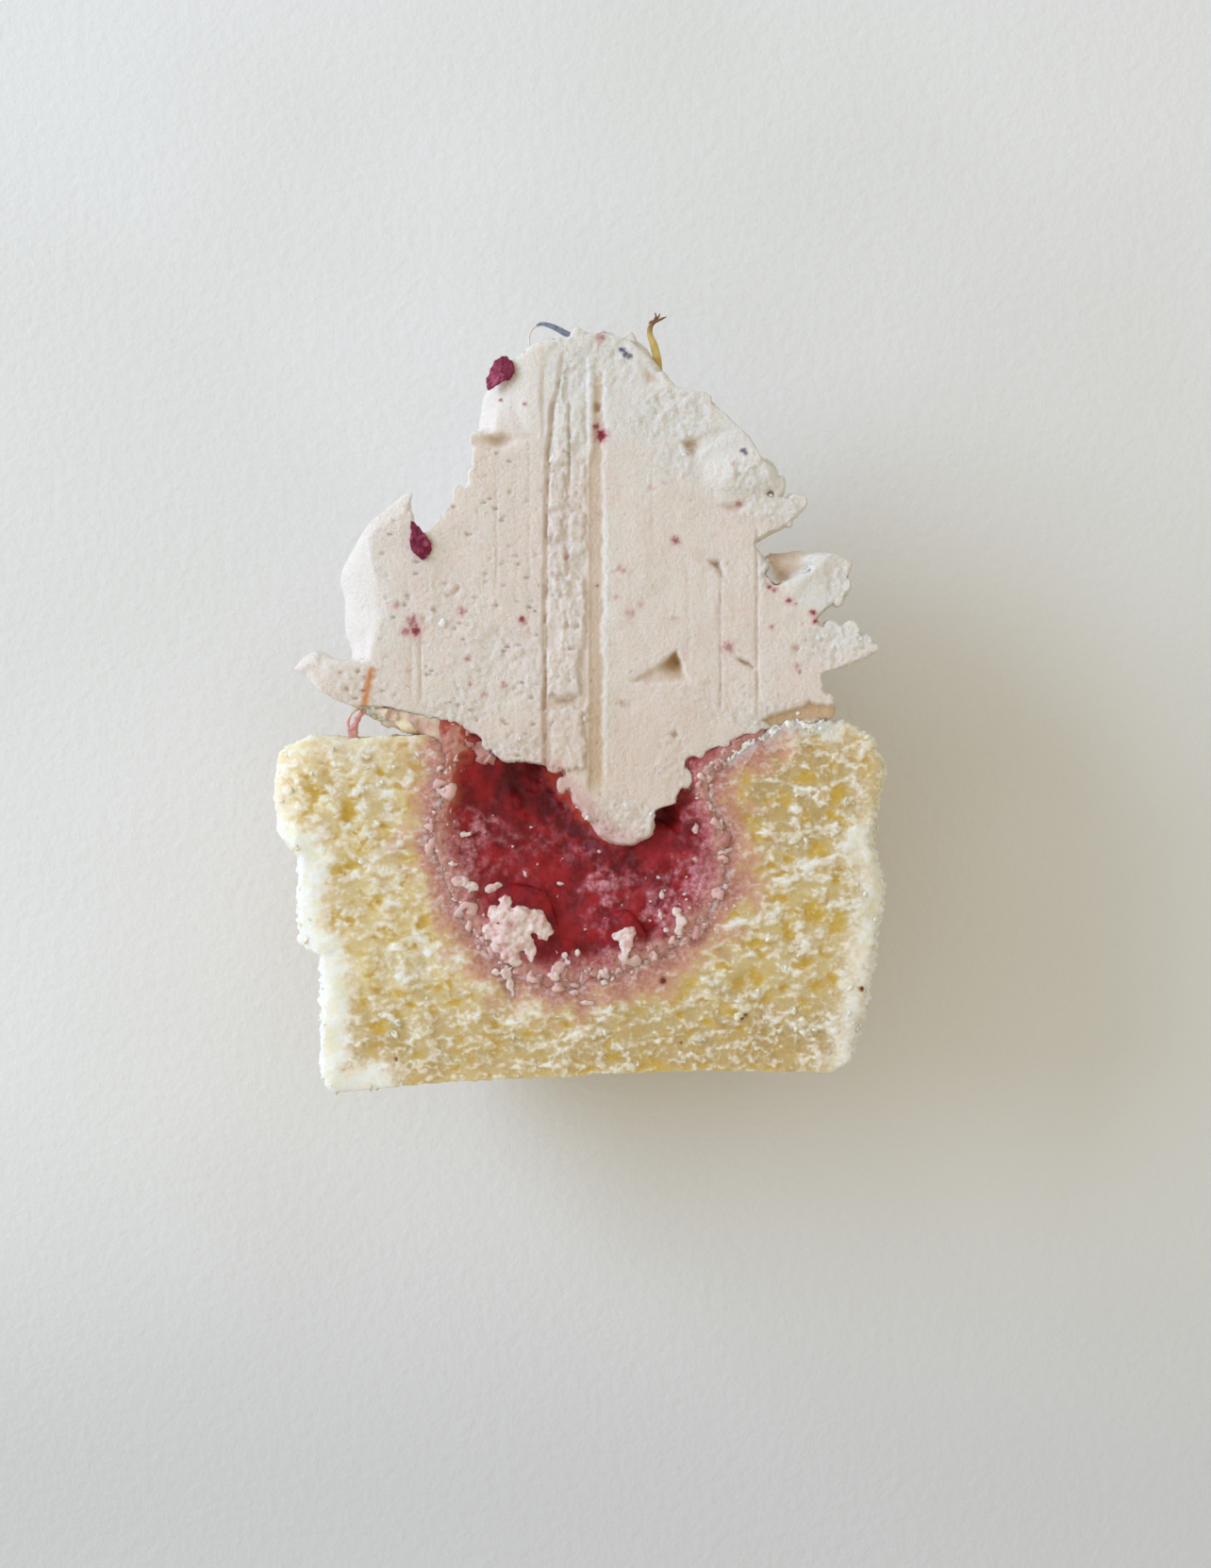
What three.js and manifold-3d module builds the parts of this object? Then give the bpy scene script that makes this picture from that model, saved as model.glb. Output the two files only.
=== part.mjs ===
// Half a filled cupcake, cut down through its middle and laid on its round back with the cut face up.
//
// Frame, in millimetres: X runs across the cake, Y along the cake's own upright axis from its base to
// the top of the cream, and Z straight up out of the cut face. The whole cake is turned about Y, cut by
// an uneven knife pass above the axis, and flattened where its back rests. At the end the group is moved
// so that the origin is the centre of the underside.
import * as THREE from "three";
import { mergeVertices } from "three/addons/utils/BufferGeometryUtils.js";
import { ImprovedNoise } from "three/addons/math/ImprovedNoise.js";
import Module from "manifold-3d";

const wasm = await Module();
wasm.setup();

// ---- driving dimensions ----
const CUT_Z = 2; // the knife passed this far above the cake's axis
const REST_Z = -31.2; // the board that the back lies on
const GAP = 0.3; // clearance between neighbouring pieces
const FINEST = 0.06; // edges shorter than this are merged away
const SPONGE_TURNS = 144; // steps round the whole cake
const CREAM_TURNS = 48;
const JAM_TURNS = 40;

const PLEATS = 36; // folds of the baking case, printed in the sponge's side
const PLEAT_DEPTH = 0.45;

// ---- outlines, each point [radius, height above the base] ----
// The sponge rises from the base, flares to a baked rim and closes over a low dome. One side was torn in
// two steps when its case came off; the other side kept a fuller rim.
const SPONGE_RIGHT = [
  [0, 0.6], [14, 1.1], [27.5, 0.9], [29.9, 2.2], [31.2, 9], [32.6, 16.5], [33.4, 21.5], [31.9, 26.8],
  [32.6, 31], [33.3, 34.8], [32, 38], [29.5, 39.7], [23.1, 39.8], [20.5, 39.1], [17.9, 37.4],
  [14.7, 35.9], [12, 35.4], [0, 35],
];
const SPONGE_LEFT = [
  [0, 0.5], [14, -0.1], [28, -1.4], [29.4, 0.6], [29.3, 8], [29.1, 13.6], [31.4, 15.4], [31.7, 25],
  [33.9, 27], [34.8, 31.5], [34.2, 36.4], [30.5, 38.5], [24.5, 38], [21.5, 38.4], [17.3, 38.3],
  [14.7, 37.3], [12, 36.4], [0, 36],
];
// The jam is a scooped bowl in the sponge, with a film that creeps out between sponge and cream.
const JAM_RIGHT = [
  [0, 11.8], [3.2, 12.1], [7.9, 14.4], [12.1, 17.9], [14.7, 22], [15.5, 26.8], [14.4, 31],
  [13.6, 34.3], [16, 36.2], [19.3, 38.4], [19.9, 39.6], [14, 40], [0, 40],
];
const JAM_LEFT = [
  [0, 11.8], [4.2, 11.6], [8.9, 13.3], [12.6, 16.8], [14.9, 21.5], [15.8, 26.8], [14.9, 31],
  [14.6, 34.3], [14.7, 36.4], [15.1, 37.9], [15.4, 39.4], [12, 40], [0, 40],
];
// The body of the cream, without its ridges.
const CREAM_RIGHT = [
  [0, 34.4], [8, 35], [12.3, 36.2], [17.9, 38.5], [20.2, 39.8], [25.6, 41.2], [26.7, 43.8],
  [26, 46.9], [25.4, 50.8], [22.2, 54.8], [20.2, 57.6], [18.5, 60.4], [18.4, 63.6], [19.6, 66],
  [20, 69], [18.4, 71.8], [15.4, 74.6], [12.2, 76.4], [9.4, 77.8], [8.4, 79.6], [5.9, 82],
  [3.2, 83.2], [0, 83.3],
];
const CREAM_LEFT = [
  [0, 34.2], [4.7, 35.2], [9.5, 35.9], [12.1, 38.5], [15.8, 40.2], [24.2, 42], [24.6, 44],
  [24.3, 46.4], [24, 50], [23.4, 54], [21.2, 58], [17.6, 61.2], [15.6, 63.4], [13.8, 65.4],
  [12.2, 67.8], [12.2, 70.4], [12, 73], [11, 76.6], [9.6, 78.8], [8.2, 80.3], [5.6, 82.2],
  [2.6, 82.7], [0, 82.8],
];

// ---- the piped ridges ----
// Each ridge runs round the back from one side of the cut to the other and climbs or falls on the way.
// root and tip are [radius, height] of its two edges, thick its thickness at the root, blunt the share of
// it that is left at the tip, and curl how far its middle stands off the straight line from root to tip:
// outwards and down where it is below 0. fall is how much lower its tip runs just behind the cut, and
// sway how far its edge wanders in waves round the back.
const RIDGES = [
  { right: { root: [19, 43.2], tip: [28, 41.7], thick: 4.4, blunt: 0.5, curl: 0.6 },
    left: { root: [18, 43.6], tip: [25.2, 42.6], thick: 3, blunt: 0.5, curl: 0.3 }, sway: 0.4, waves: 9 },
  { right: { root: [19, 47.9], tip: [33.2, 48.2], thick: 6.6, blunt: 0.2, curl: -0.2 },
    left: { root: [19, 43.6], tip: [31.8, 46.4], thick: 5, blunt: 0.9, curl: -0.9 }, sway: 0.9, waves: 7 },
  { right: { root: [17, 50.6], tip: [29.4, 57.3], thick: 6.4, blunt: 0.62, curl: -0.9 },
    left: { root: [18.2, 47.5], tip: [19.2, 65.9], thick: 9.6, blunt: 0.3, curl: -5.4, fall: 8.5 },
    sway: 1.1, waves: 6 },
  { right: { root: [12, 60.6], tip: [24.5, 64.2], thick: 5.4, blunt: 0.6, curl: 0 },
    left: { root: [9, 61], tip: [14.6, 66.4], thick: 4.4, blunt: 0.4, curl: -1.2 }, sway: 1, waves: 7 },
  { right: { root: [8, 66], tip: [21.8, 67], thick: 7.6, blunt: 0.72, curl: 0.7 },
    left: { root: [5, 67.5], tip: [13, 71.8], thick: 4.6, blunt: 0.4, curl: -0.4 }, sway: 0.8, waves: 6 },
  { right: { root: [4, 72], tip: [14.4, 76], thick: 5.4, blunt: 0.5, curl: 0.6 },
    left: { root: [3, 75], tip: [11.4, 77], thick: 7, blunt: 0.5, curl: 1.2 }, sway: 0.5, waves: 5 },
];
const RIDGE_STEPS = 32;
const RIDGE_SIDES = 10;
const RIDGE_PAST_CUT = 0.35; // radians that a ridge runs on past the cut plane before the knife takes it

// ---- the cream's tongue, which hangs down into the jam beside the cake's axis ----
const TONGUE = { x: 4.5, z: -0.5, outline: [
  [0, 26.1], [1.6, 26.2], [2.9, 27.2], [3.9, 29], [5.4, 30.4], [6.5, 32.4], [7.1, 35.4], [7.4, 40], [0, 40],
] };

const noise = new ImprovedNoise();

// ---- helpers ----
const mix = THREE.MathUtils.lerp;
const smooth = THREE.MathUtils.smoothstep;

// How much the right-hand outline counts at an angle round Y that starts at +Z and turns towards +X.
const rightShare = (angle) => smooth(Math.sin(angle), -0.9, 0.9);

function mixOutlines(left, right, share) {
  return right.map(([r, y], i) => [mix(left[i][0], r, share), mix(left[i][1], y, share)]);
}

// An outline moved outwards by d along its own normals, for a clearance round a piece.
function grown(outline, d) {
  return outline.map(([r, y], i) => {
    const [r0, y0] = outline[Math.max(i - 1, 0)];
    const [r1, y1] = outline[Math.min(i + 1, outline.length - 1)];
    const length = Math.hypot(r1 - r0, y1 - y0);
    const onAxis = i === 0 || i === outline.length - 1;
    return [onAxis ? 0 : r + (d * (y1 - y0)) / length, y - (d * (r1 - r0)) / length];
  });
}

// A solid from a closed three.js geometry, after its doubled vertices and empty triangles are gone.
function solid(geometry) {
  const bare = geometry.clone();
  bare.deleteAttribute("normal");
  bare.deleteAttribute("uv");
  const merged = mergeVertices(bare, 1e-4);
  const corners = [];
  for (let i = 0; i < merged.index.count; i += 3) {
    const [a, b, c] = [0, 1, 2].map((k) => merged.index.getX(i + k));
    if (a !== b && b !== c && c !== a) corners.push(a, b, c);
  }
  const made = new wasm.Manifold(new wasm.Mesh({
    numProp: 3,
    vertProperties: new Float32Array(merged.attributes.position.array),
    triVerts: new Uint32Array(corners),
  }));
  if (made.volume() < 0) throw new Error("a shape is inside out");
  return made;
}

// A geometry whose every vertex is moved by place(x, y, z), which returns the new [x, y, z].
function moved(geometry, place) {
  const at = geometry.attributes.position;
  for (let i = 0; i < at.count; i++) at.setXYZ(i, ...place(at.getX(i), at.getY(i), at.getZ(i)));
  return geometry;
}

// A body turned about Y whose outline changes on the way round.
function turned(outlineAt, steps) {
  const first = outlineAt(0);
  const lathe = new THREE.LatheGeometry(first.map(([r, y]) => new THREE.Vector2(r, y)), steps);
  const at = lathe.attributes.position;
  for (let i = 0; i <= steps; i++) {
    const angle = ((i % steps) / steps) * 2 * Math.PI;
    outlineAt(angle).forEach(([r, y], j) => {
      at.setXYZ(i * first.length + j, r * Math.sin(angle), y, r * Math.cos(angle));
    });
  }
  return solid(lathe);
}

function spaced(from, to, step) {
  return Array.from({ length: Math.round((to - from) / step) + 1 }, (_, i) => from + i * step);
}

// The block of air above an uneven cut: its underside is the surface z = heightAt(x, y), sampled at the
// given columns and rows, which wander by up to shake so that no straight grid shows.
function airAbove(columns, rows, shake, heightAt) {
  const block = new THREE.BoxGeometry(1, 1, 1, columns.length - 1, rows.length - 1, 1);
  return solid(moved(block, (a, b, c) => {
    const x = columns[Math.round((a + 0.5) * (columns.length - 1))];
    const y = rows[Math.round((b + 0.5) * (rows.length - 1))];
    const u = x + shake * noise.noise(x * shake, y * 0.31, 0.5);
    const v = y + 2 * shake * noise.noise(x * 0.87, y * 0.43, 7.5);
    return [u, v, c > 0 ? 60 : heightAt(x, y)];
  }));
}

// A tapering strand along a curve, for stalks and threads: width and depth at t = 0..1 along it.
function strand(points, widthAt, depthAt, steps, sides) {
  const curve = new THREE.CatmullRomCurve3(points.map((p) => new THREE.Vector3(...p)));
  const rod = new THREE.CylinderGeometry(1, 1, 1, sides, steps);
  return solid(moved(rod, (x, y, z) => {
    const t = 0.5 - y;
    const centre = curve.getPointAt(t);
    const along = curve.getTangentAt(t);
    const across = new THREE.Vector3(0, 0, 1).cross(along).normalize();
    const up = along.clone().cross(across);
    centre.addScaledVector(across, (x * widthAt(t)) / 2).addScaledVector(up, (z * depthAt(t)) / 2);
    return centre.toArray();
  }));
}

// A small irregular lump: a coarse ball squeezed to size and turned, with its corners shaken by the noise.
function lump(centre, size, turn, seed) {
  const ball = new THREE.IcosahedronGeometry(0.5, 1);
  moved(ball, (x, y, z) => {
    const swell = 1 + 0.45 * noise.noise(3 * x + seed, 3 * y + 2 * seed, 3 * z);
    return [x * swell * size[0], y * swell * size[1], z * swell * size[2]];
  });
  return solid(ball.applyMatrix4(new THREE.Matrix4().makeRotationZ(turn).setPosition(...centre)));
}

// ---- the knife's passes ----
// Where the edge of the cut face rolls over instead of staying sharp: how far the surface has dropped
// at a point that lies past x = from, on the side that sign names.
function rolledEdge(x, from, sign, radius) {
  const past = Math.min(Math.max(sign * (x - from), 0), radius);
  return radius - Math.sqrt(Math.max(radius * radius - past * past, 0));
}

// Torn crumb: the knife leaves it open in flakes that lie across the cake.
function spongeCut(x, y) {
  const torn = 0.55 * noise.noise(x * 0.3, y * 0.55, 3) + 0.35 * noise.noise(x * 0.7, y * 1.1, 9);
  const leftEdge = mix(-28.6, -31.2, smooth(y, 13, 28));
  return CUT_Z + torn - rolledEdge(x, leftEdge, -1, 3.6) - 0.5 * rolledEdge(x, 31.2, 1, 2.4);
}

// The jam is soft: it dishes away from the sponge and sinks under the cream's tongue.
function jamCut(x, y) {
  const fromCentre = Math.hypot(x + 0.5, (y - 27) * 0.95) / 15;
  const dish = 1.5 * (1 - fromCentre * fromCentre) * smooth(y, 12, 30);
  const lumps = 0.8 * noise.noise(x * 0.22 + 5, y * 0.22, 1) + 0.3 * noise.noise(x * 0.6, y * 0.6, 4);
  const pitBeside = ([px, py, wide, deep]) => deep * Math.exp(-((x - px) ** 2 + (y - py) ** 2) / (wide * wide));
  const pits = [[-5.6, 33.2, 3.4, 2.4], [9.6, 29.2, 2.6, 2.2]].reduce((sum, pit) => sum + pitBeside(pit), 0);
  return CUT_Z - 0.5 - Math.max(dish, 0) + lumps * 0.7 - pits;
}

// The cream was dragged along by the knife: furrows that run from the top down to the tongue.
const FURROWS = [
  // x, half width, depth, top and bottom
  [-4.5, 0.45, 0.8, 80, 36], [-2.2, 0.45, 0.55, 90, 44], [0.9, 1.1, 0.8, 88, 34], [2.9, 0.5, -0.35, 66, 34],
  [-9.7, 0.4, 0.3, 68, 50], [-18, 0.4, 0.3, 52, 42], [15.2, 0.4, 0.4, 62, 40], [19, 0.4, 0.4, 60, 40],
];

function creamCut(x, y) {
  const furrow = FURROWS.reduce((sum, [fx, half, deep, top, bottom]) => {
    const along = smooth(y, bottom - 3, bottom + 3) * (1 - smooth(y, top - 3, top + 3));
    return sum + deep * along * Math.max(0, 1 - Math.abs(x - fx) / half);
  }, 0);
  const rough = 0.25 * noise.noise(x * 0.5, y * 0.12, 6) + 0.2 * noise.noise(x * 0.3, y * 0.3, 8);
  const dome = smooth(y, 70, 75) * rolledEdge(x, -4.8, -1, 7.4);
  const petal = smooth(y, 47, 51) * rolledEdge(x, -23.2, -1, 4.6);
  const tip = (1 - smooth(y, 46, 49)) * rolledEdge(x, -29.6, -1, 2.4);
  return CUT_Z + rough - furrow - dome - petal - tip;
}

// Columns of the cream's cut: three to a furrow, so that it is crisp, and wide apart elsewhere.
function creamColumns() {
  const sharp = FURROWS.flatMap(([x, half]) => [x - half, x, x + half]);
  const plain = spaced(-40, 40, 2.1).filter((x) => sharp.every((s) => Math.abs(s - x) > 0.7));
  return [...sharp, ...plain].sort((a, b) => a - b);
}

// Hollows that the cut opened between the folds: centre, size and turn.
const HOLLOWS = [
  [[8.6, 44.6, 2.6], [6, 2.6, 4.6], 0.25], [[9.6, 46.3, 2.4], [2.6, 3.2, 4], 0],
  [[13.2, 70.7, 2.6], [5.6, 2.4, 5], 0.35], [[15, 57.2, 2.2], [2, 3, 2.6], -0.5],
  [[18, 46.7, 2.2], [2.6, 1.2, 2.2], -0.5], [[-9.2, 71.1, 1.6], [6, 2.4, 4.6], 0.15],
  [[22.4, 57.4, 1.6], [5.4, 3.6, 4.4], 0.75], [[7.9, 78.9, 1.8], [2.6, 3, 2.8], 0.3],
];

// ---- the pieces ----
function jamOutline(grow) {
  return (angle) => grown(mixOutlines(JAM_LEFT, JAM_RIGHT, rightShare(angle)), grow)
    .map(([r, y]) => [r * (1 + 0.05 * Math.sin(3 * angle + y * 0.2)), y]);
}

function creamOutline(grow) {
  return (angle) => {
    const share = rightShare(angle);
    const behind = smooth(-Math.cos(angle), 0, 0.5);
    return grown(mixOutlines(CREAM_LEFT, CREAM_RIGHT, share), grow).map(([r, y]) => {
      const aboveSponge = smooth(y, 43, 50);
      const wave = 0.9 * Math.sin(7 * angle + y * 0.35) * aboveSponge * smooth(r, 3, 9);
      return [r + behind * wave, y];
    });
  };
}

function spongeOutline(angle) {
  const share = rightShare(angle);
  const behind = smooth(-Math.cos(angle), 0.05, 0.7);
  return mixOutlines(SPONGE_LEFT, SPONGE_RIGHT, share).map(([r, y]) => {
    const side = smooth(y, 1, 6) * (1 - smooth(y, 27, 34)) * smooth(r, 26, 28);
    const pleat = PLEAT_DEPTH * Math.cos(PLEATS * angle) * side;
    const uneven = 0.7 * noise.noise(2.2 * Math.sin(angle), y * 0.09, 2.2 * Math.cos(angle)) * smooth(r, 12, 26);
    const fullerBase = 1.5 * behind * (1 - smooth(y, 5, 26)) * smooth(r, 12, 26);
    return [r + pleat + uneven + fullerBase, y];
  });
}

// One piped ridge: a cylinder bent round the cake, its section squeezed to a blade with a soft edge.
function ridge({ right, left, sway, waves }, index) {
  const rod = new THREE.CylinderGeometry(1, 1, 1, RIDGE_SIDES, RIDGE_STEPS);
  return solid(moved(rod, (a, t, b) => {
    const angle = mix(Math.PI / 2 - RIDGE_PAST_CUT, (3 * Math.PI) / 2 + RIDGE_PAST_CUT, 0.5 + t);
    const share = rightShare(angle);
    const at = (key, k) => mix(left[key][k], right[key][k], share);
    const behind = smooth(-Math.cos(angle), 0.02, 0.45);
    const ripple = sway * behind * Math.sin(waves * angle + index * 1.7);
    const root = new THREE.Vector2(at("root", 0), at("root", 1));
    const fall = (left.fall ?? 0) * (1 - share) * smooth(-Math.cos(angle), 0.03, 0.5);
    const tip = new THREE.Vector2(at("tip", 0) + ripple + 0.2 * fall, at("tip", 1) + 0.8 * ripple - fall);
    const out = tip.clone().sub(root);
    const s = (a + 1) / 2;
    const side = new THREE.Vector2(-out.y, out.x).normalize();
    const taper = 1 - (1 - mix(left.blunt, right.blunt, share)) * s * s;
    const bow = mix(left.curl, right.curl, share) * 4 * s * (1 - s);
    const lift = bow + (b * taper * mix(left.thick, right.thick, share)) / 2;
    const p = root.addScaledVector(out, s).addScaledVector(side, lift);
    return [p.x * Math.sin(angle), p.y, p.x * Math.cos(angle)];
  }));
}

function tongue(grow) {
  const outline = () => grown(TONGUE.outline, grow);
  return turned(outline, 20).translate([TONGUE.x, 0, TONGUE.z]);
}

// The board that the half lies on, which flattens whatever would reach below it.
function board() {
  return solid(new THREE.BoxGeometry(120, 120, 40).translate(0, 40, REST_Z - 20));
}

function joined(parts) {
  return parts.reduce((whole, part) => whole.add(part));
}

// Dried petals and fruit that lie on the cream.
function toppings() {
  const stalk = strand([[9.8, 76.4, -1], [8.9, 79.8, 0.2], [7.7, 82, 0.6], [7.6, 84, 0.8], [8.4, 85.2, 1]],
    (t) => 1.1 - 0.5 * t, (t) => 0.8 - 0.3 * t, 8, 6);
  const petalPath = [[-6.2, 80.8, 0.4], [-6.1, 82.8, 0.6], [-5.2, 84.3, 0.8], [-3.6, 84.1, 0.9], [-0.6, 82.3, 0.4]];
  const bluePetal = strand(petalPath, (t) => 0.5 + 0.5 * t, () => 0.6, 10, 6);
  const fruitOnDome = lump([-9.3, 79.1, -1.2], [3.4, 3.7, 1.5], 0.5, 1.3);
  const fruitInFold = lump([-18.4, 60.2, 1.5], [1.9, 4.1, 1.5], 0.45, 4.1);
  return [stalk, bluePetal, fruitOnDome, fruitInFold];
}

// A thread of jam-stained cream that stretched as the halves were pulled apart.
function thread() {
  return strand([[-24.2, 43.4, 0.4], [-25, 41.4, 0.9], [-25.3, 39.9, 0.9], [-25.6, 38.9, 0.8]],
    (t) => 1 + 0.5 * Math.abs(t - 0.5), () => 0.9, 5, 6);
}

function makeCream() {
  const behind = lump([22.8, 55.3, -3.4], [9.6, 6.2, 6.6], 0.06, 6.6); // the fold behind the third ridge's cut
  const piped = joined([turned(creamOutline(0), CREAM_TURNS), tongue(0), behind, ...RIDGES.map(ridge)]);
  const cut = piped.subtract(airAbove(creamColumns(), spaced(20, 96, 4), 0.5, creamCut));
  const opened = joined(HOLLOWS.map(([centre, size, turn], i) => lump(centre, size, turn, i)));
  const laid = cut.subtract(opened).subtract(board());
  return joined([laid, ...toppings(), thread()]);
}

// Bits of cream and crumb that the knife wiped across the jam.
function smears() {
  return [
    lump([-7.4, 17.6, 1.2], [6.4, 6.2, 2.6], 0.3, 2.2), lump([-6, 14.4, 1.4], [2.6, 4.6, 2], -0.2, 5.5),
    lump([-2.9, 13.4, 1.2], [2.8, 2.6, 2], 0.4, 3.4), lump([4.3, 15.8, 1.2], [2.6, 3.6, 2], 0.2, 7.7),
    lump([10.4, 18.4, 1.2], [1.8, 3, 2], 0, 8.3),
  ];
}

function makeJam() {
  const knife = airAbove(spaced(-26, 26, 2), spaced(6, 48, 2), 0.7, jamCut);
  const bowl = turned(jamOutline(0), JAM_TURNS).subtract(knife);
  const underCream = bowl.subtract(turned(creamOutline(GAP), CREAM_TURNS)).subtract(tongue(GAP));
  const inBowl = turned(jamOutline(-0.1), JAM_TURNS);
  return joined([underCream, ...smears().map((bit) => bit.intersect(inBowl))]);
}

function makeSponge() {
  const knife = airAbove(spaced(-40, 40, 2), spaced(-6, 46, 2), 0.8, spongeCut);
  const baked = turned(spongeOutline, SPONGE_TURNS).subtract(knife);
  const scooped = baked.subtract(turned(jamOutline(GAP), JAM_TURNS)).subtract(tongue(GAP));
  return scooped.subtract(turned(creamOutline(GAP), CREAM_TURNS)).subtract(board());
}

// The largest body of a cut, so that no scrap is left floating beside it, as a flat-shaded geometry.
function geometryOf(made) {
  const whole = made.simplify(FINEST).decompose().sort((a, b) => b.volume() - a.volume())[0];
  const { numProp, vertProperties, triVerts } = whole.getMesh();
  const positions = new Float32Array(triVerts.length * 3);
  triVerts.forEach((v, i) => positions.set(vertProperties.subarray(v * numProp, v * numProp + 3), i * 3));
  const geometry = new THREE.BufferGeometry().setAttribute("position", new THREE.BufferAttribute(positions, 3));
  geometry.computeVertexNormals();
  return geometry;
}

function piece(name, made, color, roughness) {
  const material = new THREE.MeshStandardMaterial({ color, roughness, metalness: 0 });
  const mesh = new THREE.Mesh(geometryOf(made), material);
  mesh.name = name;
  return mesh;
}

const cake = new THREE.Group();
cake.add(
  piece("sponge", makeSponge(), 0xe3cf8e, 0.9),
  piece("jam", makeJam(), 0x8e1222, 0.2),
  piece("cream", makeCream(), 0xf2e2d6, 0.6),
);

const extent = new THREE.Box3().setFromObject(cake);
const middle = extent.getCenter(new THREE.Vector3());
cake.position.set(-middle.x, -middle.y, -extent.min.z);

export default cake;
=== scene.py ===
import math

import bmesh
import bpy
import numpy as np
from bpy.props import FloatProperty, FloatVectorProperty, IntProperty, PointerProperty
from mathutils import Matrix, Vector
from mathutils.kdtree import KDTree


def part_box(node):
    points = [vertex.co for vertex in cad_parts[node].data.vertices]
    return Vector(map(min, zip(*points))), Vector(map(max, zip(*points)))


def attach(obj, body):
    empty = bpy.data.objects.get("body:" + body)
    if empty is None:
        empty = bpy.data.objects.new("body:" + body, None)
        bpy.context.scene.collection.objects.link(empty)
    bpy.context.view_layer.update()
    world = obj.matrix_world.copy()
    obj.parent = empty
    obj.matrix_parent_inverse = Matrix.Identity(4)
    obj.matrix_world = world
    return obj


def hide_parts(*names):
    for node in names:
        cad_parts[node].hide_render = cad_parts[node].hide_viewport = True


bl_info = {
    "name": "Half Cupcake",
    "version": (1, 0, 0),
    "blender": (4, 5, 0),
    "location": "3D View > Sidebar > Cupcake",
    "description": "Dresses the cut half of a filled cupcake: crumb, jam, buttercream, petals and crumbs",
    "category": "Mesh",
}

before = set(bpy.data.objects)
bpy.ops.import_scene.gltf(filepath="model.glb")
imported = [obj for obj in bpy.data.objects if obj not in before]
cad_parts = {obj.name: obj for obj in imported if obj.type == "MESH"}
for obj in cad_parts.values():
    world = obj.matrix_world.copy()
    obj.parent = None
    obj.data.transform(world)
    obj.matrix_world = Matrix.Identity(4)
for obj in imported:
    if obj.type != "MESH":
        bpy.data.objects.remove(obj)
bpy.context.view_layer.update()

# ---- where things are ----
# Sizes and places are in millimetres on the cake: x across it, y up its own axis from the base, and z up
# out of the cut face from that axis. SPONGE_LOW is the sponge's lowest corner in them, and ties them to
# the frame, which is in metres.
MM = 0.001
SPONGE_LOW = Vector((-34.89, -1.4, -31.2))
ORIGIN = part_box("sponge")[0] - SPONGE_LOW * MM
CUT = 2.0  # height of the knife's cut
BOARD = -31.2  # height of the board
MIDDLE = (2.3, 33.0, CUT)  # what the camera and the light face
SENSOR = 36.0  # width of the camera's sensor
WINDOW = Vector((-0.89, 0.34, 0.46))  # from MIDDLE to the light, in metres
LARGE_PIECE, JAM_PIECE, SMALL_PIECE = 197000, 150000, 60000  # the most triangles of a piece


def placed(points):
    """Points on the cake, in mm, turned into the frame's metres."""
    return np.asarray(points, float) * MM + np.array(ORIGIN)


def on_cake(points):
    """The frame's metres turned into mm on the cake."""
    return (np.asarray(points, float) - np.array(ORIGIN)) / MM


def linear(hex_colour):
    """An sRGB hex colour as linear red, green, blue and alpha."""
    parts = [int(hex_colour[i : i + 2], 16) / 255 for i in (1, 3, 5)]
    return [p / 12.92 if p <= 0.04045 else ((p + 0.055) / 1.055) ** 2.4 for p in parts] + [1.0]


# ---- noise ----
PERMUTED = np.tile(np.random.default_rng(11).permutation(256), 3)
STEPS = np.array(list(np.ndindex(3, 3, 3))) - 1
SLOPES = STEPS[np.abs(STEPS).sum(axis=1) == 2]  # the middles of a cube's twelve edges


def scrambled(cell, seed):
    """A repeatable number from 0 to 255 for each whole-numbered cell."""
    picked = PERMUTED[(cell[:, 0] + 31 * seed) & 255]
    for axis in range(1, cell.shape[1]):
        picked = PERMUTED[picked + ((cell[:, axis] + 57 * seed) & 255)]
    return picked


def waves(points, seed=0):
    """Smooth noise from about -1 to 1 with features one unit wide."""
    if points.shape[1] == 2:
        points = np.column_stack((points, np.full(len(points), 0.37)))
    cell = np.floor(points).astype(int)
    part = points - cell
    ease = part**3 * (part * (part * 6 - 15) + 10)
    total = np.zeros(len(points))
    for corner in np.ndindex(2, 2, 2):
        corner = np.array(corner)
        weight = np.prod(np.where(corner, ease, 1 - ease), axis=1)
        slope = SLOPES[scrambled(cell + corner, seed) % 12]
        total += weight * ((part - corner) * slope).sum(axis=1)
    return total


def rough(points, seed=0, octaves=4, gain=0.5):
    """Layers of waves, each twice as fine as the last."""
    total, size = np.zeros(len(points)), 1.0
    for layer in range(octaves):
        total += size * waves(points * 2.0**layer, seed + layer)
        size *= gain
    return total


def cells(points, seed=0):
    """How far each point is from the nearest and the next nearest of a scatter of seeds, one in each unit
    cell, and a number from 0 to 1 that belongs to the nearest."""
    base = np.floor(points).astype(int)
    nearest = np.full(len(points), 9.0)
    second = nearest.copy()
    owner = np.zeros(len(points))
    for step in np.ndindex(*(3,) * points.shape[1]):
        cell = base + np.array(step) - 1
        jitter = np.column_stack([scrambled(cell, seed + 3 + axis) / 256 for axis in range(points.shape[1])])
        away = np.linalg.norm(cell + jitter - points, axis=1)
        closer = away < nearest
        second = np.where(closer, nearest, np.minimum(second, away))
        owner = np.where(closer, scrambled(cell, seed + 9) / 255, owner)
        nearest = np.where(closer, away, nearest)
    return nearest, second, owner


def eased(value, low, high):
    """0 below low, 1 above high and a smooth step between."""
    t = np.clip((value - low) / (high - low), 0, 1)
    return t * t * (3 - 2 * t)


def band(value, start, full, fading, end):
    """1 between full and fading, 0 before start and past end, and smooth steps between."""
    return eased(value, start, full) * (1 - eased(value, fading, end))


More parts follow.
